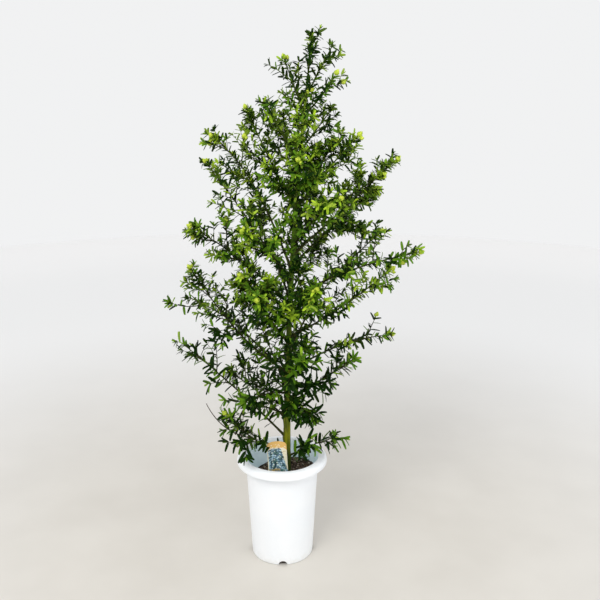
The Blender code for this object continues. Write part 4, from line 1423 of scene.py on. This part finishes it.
# %% Bud pieces
STALK_TUBE = (4, 5)
scale_points = placed(bud_scales(), *places)
core_points = placed(bud_core(), *places)
bud_points = np.concatenate([scale_points.reshape(-1, 3), core_points.reshape(-1, 3)])
scale_corners = scale_points.size // 3
rows, columns = len(SCALE_ROWS), len(SCALE_COLUMNS)
bud_faces = [repeated(grid_faces(rows, columns), SCALES * len(bud_spots), rows * columns)]
for part in tube_faces(CORE_RINGS, CORE_SIDES):
    cores = repeated(part, len(bud_spots), CORE_RINGS * CORE_SIDES)
    bud_faces.append(cores + scale_corners)
bud_skin = Finish("lime bud scale", (0.40, 0.52, 0.04), 0.5, Specular_IOR_Level=0.2)
bud_drift = bud_skin.noise(240, 3)
bud_shade = bud_skin.blend(bud_drift.above(0.5, 0.2), (0.34, 0.48, 0.03), (0.62, 0.70, 0.08))
bud_skin.drive("Base Color", bud_shade)
bud_skin.bump(bud_drift, 0.0004)
add_piece("flower_buds", bud_points, bud_faces, bud_skin.material, "leaves")
add_twigs("bud_stalks", bud_stalks, *STALK_TUBE, twig_green)

# %% [markdown]
# ## Dead twig
# One bare, brittle twig stands out of the lowest foliage on the left. It is a tube along a
# bent line with side stubs, in the dull brown of weathered bark.

# %% Dead twig
DEAD_FOOT_SHARE = 0.55
DEAD_TIP = np.array((-0.171, -0.015, 0.382))
DEAD_LIFT = np.array((-0.010, 0, -0.016))
DEAD_RADII = (0.0018, 0.0008)
DEAD_TUBE = (24, 7)
DEAD_STUBS = ((0.45, 0.9, 0.014), (0.66, 3.6, 0.010), (0.84, 1.9, 0.008))
STUB_LIFT = 0.0008
STUB_RADII = (0.0006, 0.0003)
low_left = next(limb for limb in LIMBS if limb.name == "low_left")
dead_foot = limb_point(low_left, DEAD_FOOT_SHARE)
dead = Twig(dead_foot, DEAD_TIP, DEAD_LIFT, *DEAD_RADII, 0, 0, 0)
dead_twigs = [dead]
for along, turn, length in DEAD_STUBS:
    spot = line_point(dead, along)
    ahead = unit(line_point(dead, along + LINE_STEP) - spot)
    run = unit(ahead + spun(square_to(ahead), ahead, turn)) * length
    dead_twigs.append(Twig(spot, spot + run, UP * STUB_LIFT, *STUB_RADII, 0, 0, 0))
dead_bark = wood_finish("weathered twig bark", (0.085, 0.062, 0.040), (0.028, 0.020, 0.013), 300)
add_twigs("dead_twig", dead_twigs, *DEAD_TUBE, dead_bark)

# %% [markdown]
# ## Pot
# The pot is turned from one profile, as it was moulded: a rounded heel, a straight tapered
# wall, a rim that rolls out and down into a lip, and the inside back down to the floor. A
# Screw modifier on a drawn curve would turn it too. Here the profile is arcs and straight
# lines from named sizes, so that wall and rim still meet when a size is changed.

# %% Pot profile
FOOT_RADIUS = 0.0719
FOOT_INNER = 0.0200
FOOT_EDGE = 0.0040
NECK_RADIUS = 0.0845
NECK_HEIGHT = 0.2400
NECK_BEND = 0.0040
WALL = 0.0019
WALL_FROM = 0.0200
FLOOR = 0.0026
HEEL = 0.0030
CREST_RADIUS = 0.0902
RIM_SHOULDER = 0.2390
LIP_HEIGHT = 0.2330
LIP_ROUND = 0.0010
RIM_WALL = 0.0020
THROAT_DROP = 0.0010
POT_SIDES = 144
ARC_STEPS = 9
CREST_STEPS = 12
WALL_STEPS = 8
INSIDE_STEPS = 6
CREST_GAP = 6


def arc(centre, across, up, start, end, steps):
    """Centre + (across cos a, up sin a), with a from start to end in degrees."""
    angle = np.radians(np.linspace(start, end, steps))
    return np.stack([centre[0] + across * np.cos(angle), centre[1] + up * np.sin(angle)], -1)


def wall_radius(level):
    """foot + (neck - foot) share, with the share of the way from heel to neck."""
    return mix(FOOT_RADIUS, NECK_RADIUS, (level - HEEL) / (NECK_HEIGHT - HEEL))


def wall_line(start, end, steps, inside=0):
    """The straight wall's points from one level to another, moved in by a thickness."""
    return [(wall_radius(level) - inside, level) for level in np.linspace(start, end, steps)]


rim_out = RIM_RADIUS - CREST_RADIUS
rim_up = POT_HEIGHT - RIM_SHOULDER
rim_centre = (CREST_RADIUS, RIM_SHOULDER)
throat = CREST_RADIUS - NECK_RADIUS
throat_centre = (CREST_RADIUS, NECK_HEIGHT - THROAT_DROP)
lip_centre = (RIM_RADIUS - RIM_WALL / 2, LIP_HEIGHT + LIP_ROUND)
bend_level = NECK_HEIGHT - NECK_BEND
parts = [
    [(FOOT_INNER, 0), (FOOT_RADIUS - HEEL - FOOT_EDGE, 0)],
    arc((FOOT_RADIUS - HEEL, HEEL), HEEL, HEEL, -90, 0, ARC_STEPS),
    wall_line(WALL_FROM, bend_level, WALL_STEPS),
    arc(throat_centre, throat, rim_up - RIM_WALL, 180, 90, ARC_STEPS),
    arc(rim_centre, rim_out - RIM_WALL, rim_up - RIM_WALL, 90 - CREST_GAP, 0, ARC_STEPS),
    arc(lip_centre, -RIM_WALL / 2, LIP_ROUND, 0, -180, ARC_STEPS),
    arc(rim_centre, rim_out, rim_up, 0, 90, CREST_STEPS),
    arc(throat_centre, throat + WALL, rim_up, 90 + CREST_GAP, 180, ARC_STEPS),
    wall_line(bend_level, WALL_FROM, INSIDE_STEPS, WALL),
    arc((FOOT_RADIUS - WALL - HEEL, FLOOR + HEEL), HEEL, HEEL, 0, -90, ARC_STEPS),
    [(FOOT_INNER, FLOOR)],
]
profile = np.concatenate([np.asarray(part, float) for part in parts])
pot_points = turned(profile[:, :1], ring_angles(POT_SIDES), profile[:, 1:])
pot_faces = tube_faces(len(profile), POT_SIDES)
print(len(profile), "points in the pot's profile")

# %% [markdown]
# White plastic is never quite even: it has a faint cloudy tint, a slightly duller skin where
# hands and soil have rubbed it, and a trace of dust near the ground. Daylight also shines
# through so thin a wall. A weak pale blue painted glow stands for that light, stronger on the
# inside, which is told by its distance from the axis.

# %% Pot finish
plastic = Finish("white plastic", (0.84, 0.86, 0.88), 0.32)
cloud = plastic.noise(14, 3)
scuffs = plastic.noise(160, 4, plastic.stretched((1, 1, 0.15)))
level = plastic.axis("Z")
dust = (1 - level.above(0.012, 0.014)) * plastic.noise(90, 4).above(0.5, 0.2)
tint = plastic.blend(cloud.above(0.5, 0.25), (0.820, 0.845, 0.875), (0.850, 0.865, 0.885))
plastic.drive("Base Color", plastic.blend(dust * 0.35, tint, (0.62, 0.58, 0.50)))
plastic.drive("Roughness", cloud * 0.10 + scuffs * 0.14 + 0.20)
plastic.bump(scuffs * 0.4 + cloud * 0.6, 0.0002)
out_from_axis = plastic.far_out(plastic.stretched((1, 1, 0)))
middle_of_wall = level * ((NECK_RADIUS - FOOT_RADIUS) / NECK_HEIGHT) + (FOOT_RADIUS - WALL / 2)
outside = (out_from_axis - middle_of_wall).above(0.0, 0.0004)
# Painted glow: a pale blue emission on the pot, stronger on the inner wall.
painted_glow = plastic.blend(outside, (0.085, 0.150, 0.172), (0.055, 0.062, 0.068))
plastic.drive("Emission Color", plastic.blend(cloud * 0.3, painted_glow, (0.060, 0.068, 0.074)))
plastic.shader.inputs["Emission Strength"].default_value = 1.0
pot = add_piece("pot_shell", pot_points, pot_faces, plastic.material, "pot", ["pot"])

# %% [markdown]
# Water leaves through half-round notches at the pot's foot. A turned profile can't have them,
# so four level tubes are taken out of it with a Boolean modifier, which is then applied.

# %% Drain notches
NOTCHES = 4
NOTCH_RADIUS = 0.0105
NOTCH_INNER = 0.0400
NOTCH_PAST = 0.0100
NOTCH_TURN = 0.032
NOTCH_SIDES = 24
CREASE = math.radians(32)
bearings = [math.tau * index / NOTCHES - math.pi / 2 + NOTCH_TURN for index in range(NOTCHES)]
outs = np.array([(math.cos(bearing), math.sin(bearing), 0.0) for bearing in bearings])
ends = np.stack([outs * NOTCH_INNER, outs * (FOOT_RADIUS + NOTCH_PAST)], 1)
cutter_points, cutter_faces = tubes(ends, np.full((NOTCHES, 2), NOTCH_RADIUS), NOTCH_SIDES)
cutter = add_piece("notch_cutter", cutter_points, cutter_faces, plastic.material, "pot")
notch = pot.modifiers.new("drain notches", "BOOLEAN")
notch.operation = "DIFFERENCE"
notch.object = cutter
graph = bpy.context.evaluated_depsgraph_get()
graph.update()
pot.data = bpy.data.meshes.new_from_object(pot.evaluated_get(graph))
pot.modifiers.clear()
bpy.data.objects.remove(cutter, do_unlink=True)
pot.data.shade_smooth()
pot.data.set_sharp_from_angle(angle=CREASE)
print(len(pot.data.polygons), "faces on the pot")

# %% [markdown]
# The plastic enters a mould at one small spot, and leaves a dot there. It is a flat button on
# the wall, turned about a line that points out of the pot.

# %% Gate mark
GATE_LEVEL = 0.145
GATE_RADIUS = 0.0013
GATE_SIDES = 24
gate_heights = np.array((-0.0006, 0.0002, 0.00035, 0.0002, 0.00025))
gate_radii = np.array((1.0, 1.0, 0.72, 0.45, 0.05)) * GATE_RADIUS
gate_out = wall_radius(GATE_LEVEL) + gate_heights[:, None]
gate_flat = turned(gate_radii[:, None], ring_angles(GATE_SIDES), gate_out)
gate_points = gate_flat[..., [0, 2, 1]] * (1, -1, 1) + (0, 0, GATE_LEVEL)
gate_faces = tube_faces(len(gate_radii), GATE_SIDES)
add_piece("gate_mark", gate_points, gate_faces, plastic.material, "pot")

# %% [markdown]
# ## Soil
# The mix is a rough dark bed with a low mound at the trunk, and on it bits of bark, crumbs and
# pale grit. The bed is a polar grid with a wavy height, and the bits are small faceted lumps,
# scattered by a seeded draw and joined by kind. A particle system could scatter them too, but
# a rule of one's own says how each kind lies, and gives the same soil every time.

# %% Shape of the soil bed
BED_RINGS = 34
BED_SIDES = 110
BED_GAP = 0.0012
BED_EDGE = wall_radius(SOIL_TOP) - WALL - BED_GAP
BED_INNER = 0.02
BED_SLOPE = (0.185, 0.045)
BED_SEED = 4
BED_WAVES = 14
BED_WAVE_RATES = (40, 420)
BED_WAVE = 0.0005
BED_WAVE_FADE = 3
BED_SUNK = 0.0010
MOUND = 0.0030
MOUND_REACH = 0.0200
SKIRT_GAP = 0.0006
SKIRT_RISE = 0.0003
draw = np.random.default_rng(BED_SEED)
waves = draw.uniform(*BED_WAVE_RATES, (BED_WAVES, 2)) * draw.choice((-1, 1), (BED_WAVES, 2))
phases = draw.uniform(0, math.tau, BED_WAVES)


def bed_height(x, y):
    """Soil level + an even slope up to the right + a sum of sine waves + a low mound round
    the trunk's foot."""
    wave = 0
    for index, ((along_x, along_y), phase) in enumerate(zip(waves, phases)):
        ripple = np.sin(x * along_x + y * along_y + phase)
        wave = wave + ripple / (1 + index / BED_WAVE_FADE)
    mound = MOUND * np.exp(-((x - TRUNK_FOOT_X) ** 2 + y ** 2) / MOUND_REACH ** 2)
    return SOIL_TOP + BED_SLOPE[0] * x + BED_SLOPE[1] * y + BED_WAVE * wave + mound - BED_SUNK


share = np.linspace(BED_INNER, 1, BED_RINGS)[:, None]
turn = ring_angles(BED_SIDES)[None]
bed_top = turned(BED_EDGE * share, turn, 0)
bed_top[..., 2] = bed_height(bed_top[..., 0], bed_top[..., 1])
skirt_radius = np.array((wall_radius(FLOOR + HEEL) - WALL, FOOT_RADIUS - WALL - HEEL)) - SKIRT_GAP
skirt_level = np.array((FLOOR + HEEL, FLOOR + SKIRT_RISE))
skirt = turned(skirt_radius[:, None], turn, skirt_level[:, None])
bed_points = np.concatenate([bed_top, skirt])
print("the bed rises by", round(float(np.ptp(bed_top[..., 2])) * 1000), "mm in all")

# %% Soil finish
earth = Finish("potting mix", (0.060, 0.038, 0.022), 0.92)
crumbs = earth.noise(700, 5)
clods = earth.noise(120, 3)
grain = (crumbs * 0.6 + clods * 0.5).above(0.56, 0.14)
earth.drive("Base Color", earth.blend(grain, (0.022, 0.014, 0.009), (0.105, 0.068, 0.040)))
earth.bump(crumbs + clods, 0.0022)
bed_faces = tube_faces(BED_RINGS + 2, BED_SIDES)
add_piece("soil_bed", bed_points, bed_faces, earth.material, "soil", ["soil"])

# %% [markdown]
# Up close a potting mix is mostly its coarse bits. Bark chips lie flat, crumbs and grit are
# nearly round, and wood fibres are the longest and the thinnest. One rule makes all four from
# a block, because they differ only in size, flatness and finish.

# %% Shape of the bits
BIT_WIDTHS = (0.35, 0.8)
BIT_CORNERS_VARY = 0.22
BIT_LIES_FLAT = (1, 1, 0.25)
BIT_LEANS = 0.25
BIT_SHOWS = 0.7
BLOCK = np.array([(i, j, k) for k in (-1, 1) for j in (-1, 1) for i in (-1, 1)], float)
BLOCK_FACES = np.array((
    (0, 2, 3, 1), (4, 5, 7, 6), (0, 1, 5, 4), (2, 6, 7, 3), (0, 4, 6, 2), (1, 3, 7, 5),
))


def add_bits(name, count, sizes, flatness, finish, seed):
    """Lumps from an eight-cornered block: each corner is pushed by its own small random step,
    and the block is squashed by its flatness, turned at random and laid on the bed."""
    draw = np.random.default_rng(seed)
    reach = (BED_EDGE - sizes[1]) * np.sqrt(draw.random(count))
    turn = draw.uniform(0, math.tau, count)
    x, y = reach * np.cos(turn), reach * np.sin(turn)
    size = draw.uniform(*sizes, count)
    lengths = np.stack([size, size * draw.uniform(*BIT_WIDTHS, count), size * flatness], -1) / 2
    corners = (BLOCK + draw.normal(0, BIT_CORNERS_VARY, (count, 8, 3))) * lengths[:, None]
    heading = unit(draw.normal(0, 1, (count, 3)) * BIT_LIES_FLAT)
    across = unit(np.cross(heading, UP + draw.normal(0, BIT_LEANS, (count, 3))))
    axes = np.stack([heading, across, np.cross(across, heading)], 1)
    lift = bed_height(x, y) + lengths[:, 2] * BIT_SHOWS
    points = np.einsum("nci,nij->ncj", corners, axes) + np.stack([x, y, lift], -1)[:, None]
    piece = add_piece(name, points, [repeated(BLOCK_FACES, count, 8)], finish, "soil")
    piece.data.shade_flat()


print("a bit has", len(BLOCK), "corners and", len(BLOCK_FACES), "faces")

# %% Bits on the soil
BITS = (
    ("bark_bits", 620, (0.0030, 0.0100), 0.22, (0.115, 0.072, 0.042), 0.85, 12),
    ("soil_crumbs", 900, (0.0015, 0.0045), 0.70, (0.040, 0.025, 0.015), 0.95, 13),
    ("pale_grit", 240, (0.0015, 0.0050), 0.75, (0.50, 0.43, 0.33), 0.80, 14),
    ("wood_fibres", 120, (0.0060, 0.0130), 0.10, (0.26, 0.17, 0.09), 0.80, 15),
)


def bit_finish(name, colour, roughness):
    """A lump's own colour, mottled with a darker shade of it."""
    finish = Finish(name, colour, roughness)
    mottle = finish.noise(500, 3)
    dark = tuple(value * 0.45 for value in colour)
    finish.drive("Base Color", finish.blend(mottle.above(0.5, 0.18), dark, colour))
    finish.bump(mottle, 0.0008)
    return finish.material


for name, count, span, flatness, colour, roughness, seed in BITS:
    finish = bit_finish(name.replace("_", " "), colour, roughness)
    add_bits(name, count, span, flatness, finish, seed)

# %% [markdown]
# ## Seedling
# A small seedling has come up in the soil at the right: a thin stalk with two pairs of leaves,
# the lower one spread and the upper one still upright. It is made by the same functions as
# the plant's own twigs and leaves, from a few listed sizes and turns.

# %% Seedling
SEEDLING_SPOT = (0.0510, 0.0430)
SEEDLING_RUN = np.array((0.002, -0.001, 0.016))
SEEDLING_RADII = (0.0007, 0.0005)
PAIR_SHARES = (0.62, 0.98)
PAIR_TURNS = (0.3, 1.9)
PAIR_UPRIGHT = (0.5, 3.0)
SEEDLING_SIZES = np.array((0.013, 0.013, 0.015, 0.013))
SEEDLING_FACE_AHEAD = 0.2
SEEDLING_SEED = 8
SEEDLING_TUBE = (5, 7)
seedling_foot = np.array((*SEEDLING_SPOT, bed_height(*SEEDLING_SPOT)))
stalk = Twig(seedling_foot, seedling_foot + SEEDLING_RUN, UP * 0, *SEEDLING_RADII, 0, 0, 2)
leaf_feet = line_point(stalk, np.repeat(PAIR_SHARES, 2))
leaf_turns = np.repeat(PAIR_TURNS, 2) + np.tile((0, math.pi), 2)
stalk_ahead = np.tile(unit(stalk.tip - stalk.foot), (4, 1))
outwards = spun(square_to(stalk_ahead), stalk_ahead, leaf_turns)
headings = unit(outwards + stalk_ahead * np.repeat(PAIR_UPRIGHT, 2)[:, None])
faces_to = np.tile(UP, (4, 1)) + SEEDLING_FACE_AHEAD * headings
seedling_points = blades(leaf_feet, headings, faces_to, SEEDLING_SIZES, False, SEEDLING_SEED)
sprout = leaf_finish("seedling green", (0.045, 0.085, 0.010), 0.45, 0.25)
add_piece("seedling_leaves", seedling_points, blade_faces(4), sprout, "leaves")
add_twigs("seedling_stalk", [stalk], *SEEDLING_TUBE, twig_green)

# %% [markdown]
# ## Label
# The label is a thin card with an arched top, curved a little across its width. A plane with
# a Solidify modifier would do, but two grids joined by a strip are as short to write, and
# both sides then share one plain UV map. The print is a design of its own: an ochre arch, blue
# flower puffs over dark leaves, and a cream corner.

# %% Label card
LABEL_WIDTH = 0.0450
LABEL_THICK = 0.0007
LABEL_SHOWN = 0.1000
LABEL_BURIED = 0.0300
LABEL_ARCH = 0.0095
LABEL_PLACE = (-0.0045, -0.0440)
LABEL_LEAN = math.radians(-3.4)
LABEL_TILT = math.radians(-6.0)
LABEL_CURVE = 0.0012
LABEL_CREASE = math.radians(40)
CARD_ROWS = 40
CARD_COLUMNS = 26


def label_place(points):
    """Tilts about X, leans about Y, then moves the card's buried end to its place."""
    cos_tilt, sin_tilt = math.cos(LABEL_TILT), math.sin(LABEL_TILT)
    cos_lean, sin_lean = math.cos(LABEL_LEAN), math.sin(LABEL_LEAN)
    x, y, z = np.moveaxis(points, -1, 0)
    y, z = y * cos_tilt - z * sin_tilt, y * sin_tilt + z * cos_tilt
    x, z = x * cos_lean + z * sin_lean, -x * sin_lean + z * cos_lean
    return np.stack([x + LABEL_PLACE[0], y + LABEL_PLACE[1], z + SOIL_TOP - LABEL_BURIED], -1)


def card_side(depth):
    """x = u width / 2 with u from -1 to 1, z = v times the arched height at x, and y = depth
    less a shallow curve across."""
    u = np.linspace(-1, 1, CARD_COLUMNS)[None, :]
    v = np.linspace(0, 1, CARD_ROWS)[:, None]
    top = LABEL_BURIED + LABEL_SHOWN - LABEL_ARCH * (1 - np.sqrt(np.clip(1 - u ** 2, 0, 1)))
    y = depth - LABEL_CURVE * (1 - u ** 2) + 0 * v
    return np.stack([u * LABEL_WIDTH / 2 + 0 * v, y, v * top], -1)


card_points = np.stack([card_side(-LABEL_THICK / 2), card_side(LABEL_THICK / 2)])
card_quads = grid_faces(CARD_ROWS, CARD_COLUMNS)
one_side = CARD_ROWS * CARD_COLUMNS
edge = np.concatenate([
    np.arange(CARD_COLUMNS),
    np.arange(1, CARD_ROWS) * CARD_COLUMNS + CARD_COLUMNS - 1,
    (CARD_ROWS - 1) * CARD_COLUMNS + np.arange(CARD_COLUMNS - 2, -1, -1),
    np.arange(CARD_ROWS - 2, 0, -1) * CARD_COLUMNS,
])
after = np.roll(edge, -1)
card_edge = np.stack([edge, edge + one_side, after + one_side, after], -1)
card_faces = [card_quads, card_quads[:, ::-1] + one_side, card_edge]
print("the card is", LABEL_SHOWN + LABEL_BURIED, "m long, of which", LABEL_BURIED, "m in the soil")

# %% [markdown]
# A pattern that follows the card is easiest on a UV map, with u across and v up from 0 to 1.
# The picture is only noise: soft clumps choose between dark leaves and blue puffs, and finer
# noise breaks up both. Straight margins, the band at the top and its rule are steps along u
# and v.

# %% Label finish
card = Finish("printed card", (0.80, 0.74, 0.55), 0.38, Coat_Weight=0.3, Coat_Roughness=0.15)
sheet = card.node("ShaderNodeUVMap", {"uv_map": "print"})
across = card.axis("X", sheet)
upward = card.axis("Y", sheet)
even = card.node("ShaderNodeMapping", inputs={"Vector": sheet, "Scale": (1, 2.89, 1)})
clumps = card.noise(4.2, 2, even)
dapple = card.noise(9, 3, even)
petals = card.cells(8.5, even)
flecks = 1 - card.cells(12, even).above(0.28, 0.07)
leaves = card.blend(dapple.above(0.50, 0.04), (0.008, 0.028, 0.040), (0.055, 0.150, 0.130))
blooms = card.blend(dapple.above(0.51, 0.04), (0.070, 0.150, 0.220), (0.390, 0.560, 0.640))
picture = card.blend(clumps.above(0.49, 0.05), leaves, blooms)
pale_petals = (1 - petals.above(0.30, 0.06)) * dapple.above(0.49, 0.04)
lit = card.blend(pale_petals, picture, (0.74, 0.78, 0.72))
cream = card.blend(dapple.above(0.60, 0.06), (0.80, 0.74, 0.55), (0.60, 0.50, 0.28))
corner = (across + upward * 0.7 + dapple * 0.12).above(1.375, 0.02)
panel = card.blend(corner + 1 - across.above(0.045, 0.010), lit, cream)
low_left_part = (1 - upward.above(0.500, 0.010)) * (1 - across.above(0.60, 0.05))
ground = low_left_part * dapple.above(0.44, 0.05)
grounded = card.blend(ground, panel, (0.360, 0.250, 0.080))
low_flecks = flecks * (1 - upward.above(0.945, 0.015))
ochre = card.blend(low_flecks, (0.74, 0.44, 0.11), (0.86, 0.80, 0.62))
banded = card.blend(upward.above(0.880, 0.003), grounded, ochre)
rule = upward.above(0.866, 0.005) * (1 - upward.above(0.884, 0.005)) * dapple.above(0.44, 0.08)
card.drive("Base Color", card.blend(rule, banded, (0.84, 0.78, 0.66)))
card.drive("Roughness", dapple * 0.12 + 0.30)
print("the card's finish has", len(card.tree.nodes), "nodes")

# %% Label piece
placed_card = label_place(card_points)
label = add_piece("label_card", placed_card, card_faces, card.material, "label", ["plant_label"])
uv = label.data.uv_layers.new(name="print")
u, v = np.meshgrid(np.linspace(0, 1, CARD_COLUMNS), np.linspace(0, 1, CARD_ROWS))
flat_uv = np.tile(np.stack([u, v], -1).reshape(-1, 2), (2, 1))
loops = np.empty(len(label.data.loops), np.int32)
label.data.loops.foreach_get("vertex_index", loops)
uv.data.foreach_set("uv", flat_uv[loops].astype(np.float32).ravel())
label.data.set_sharp_from_angle(angle=LABEL_CREASE)

# %% [markdown]
# ## Stage, light and camera
# A plain pale disc carries the pot. Its colour lightens further out and it has a faint painted
# glow, stronger further out, so that it runs into the bright background with no hard line. The
# light is an even sky with one large soft lamp from the upper left and front, as on an overcast
# day, and a weaker one from the right.

# %% Stage
FLOOR_SIDES = 128
FLOOR_GAP = 0.0002
floor_rings = np.array((4.0, 4.0, 1.8, 0.6, 0.02))
floor_levels = np.array((-0.02, 0.0, 0.0, 0.0, 0.0)) - FLOOR_GAP
floor_points = turned(floor_rings[:, None], ring_angles(FLOOR_SIDES), floor_levels[:, None])
stage = Finish("pale floor", (0.62, 0.59, 0.54), 0.6)
stage_cloud = stage.noise(5, 3)
near = stage.blend(stage_cloud.above(0.5, 0.3), (0.60, 0.57, 0.52), (0.65, 0.62, 0.57))
out_from_pot = stage.far_out(stage.place)
stage.drive("Base Color", stage.blend(out_from_pot.above(1.1, 0.9), near, (0.76, 0.76, 0.76)))
# Painted glow on the floor, stronger further out.
glow = stage.blend(out_from_pot.above(2.2, 1.6), (0.0, 0.0, 0.0), (0.20, 0.20, 0.20))
rim_glow = stage.blend(out_from_pot.above(3.4, 0.7), glow, (0.265, 0.260, 0.258))
stage.drive("Emission Color", rim_glow)
stage.shader.inputs["Emission Strength"].default_value = 1.0
floor_faces = tube_faces(len(floor_rings), FLOOR_SIDES)
floor = add_piece("floor", floor_points, floor_faces, stage.material, "pot")

# %% Sky and lamps
world = bpy.data.worlds.new("sky")
bpy.context.scene.world = world
world.use_nodes = True
sky = world.node_tree.nodes["Background"]
sky.inputs["Color"].default_value = (0.88, 0.885, 0.89, 1)
sky.inputs["Strength"].default_value = 1.0


def add_lamp(name, spot, aim, size, power, colour):
    """A square soft lamp that looks from its spot to its aim."""
    lamp = bpy.data.lights.new(name, "AREA")
    lamp.size = size
    lamp.energy = power
    lamp.color = colour
    holder = bpy.data.objects.new(name, lamp)
    bpy.context.scene.collection.objects.link(holder)
    holder.location = spot
    away = -unit(np.array(aim) - np.array(spot))
    holder.rotation_euler = (math.acos(away[2]), 0, math.atan2(away[0], -away[1]))


add_lamp("key", (-1.0, -2.3, 2.8), (0, 0, 0.6), 1.5, 52, (1.0, 0.98, 0.94))
add_lamp("fill", (1.9, -1.5, 1.7), (0, 0, 0.6), 1.6, 14, (0.94, 0.97, 1.0))
bpy.context.scene.view_settings.view_transform = "Standard"
print("lamps:", [holder.name for holder in bpy.data.objects if holder.type == "LIGHT"])

# %% [markdown]
# The camera stands 1.7 m in front of the pot, a little lower than the plant's top, and looks
# down. Its place and its lens were found by fitting the pot's rim, foot and sides.

# %% Camera
CAMERA_SPOT = (0.042, -1.7205, 1.106)
CAMERA_PITCH = math.radians(15.71)
FOCAL_PIXELS = 808.7
FRAME_PIXELS = 600
SENSOR_WIDTH = 36.0
camera_data = bpy.data.cameras.new("camera")
camera_data.sensor_width = SENSOR_WIDTH
camera_data.lens = FOCAL_PIXELS / FRAME_PIXELS * camera_data.sensor_width
camera = bpy.data.objects.new("camera", camera_data)
bpy.context.scene.collection.objects.link(camera)
camera.location = CAMERA_SPOT
camera.rotation_euler = (math.pi / 2 - CAMERA_PITCH, 0, 0)
bpy.context.scene.camera = camera
print("lens", round(camera_data.lens, 1), "mm on a sensor of", SENSOR_WIDTH, "mm")
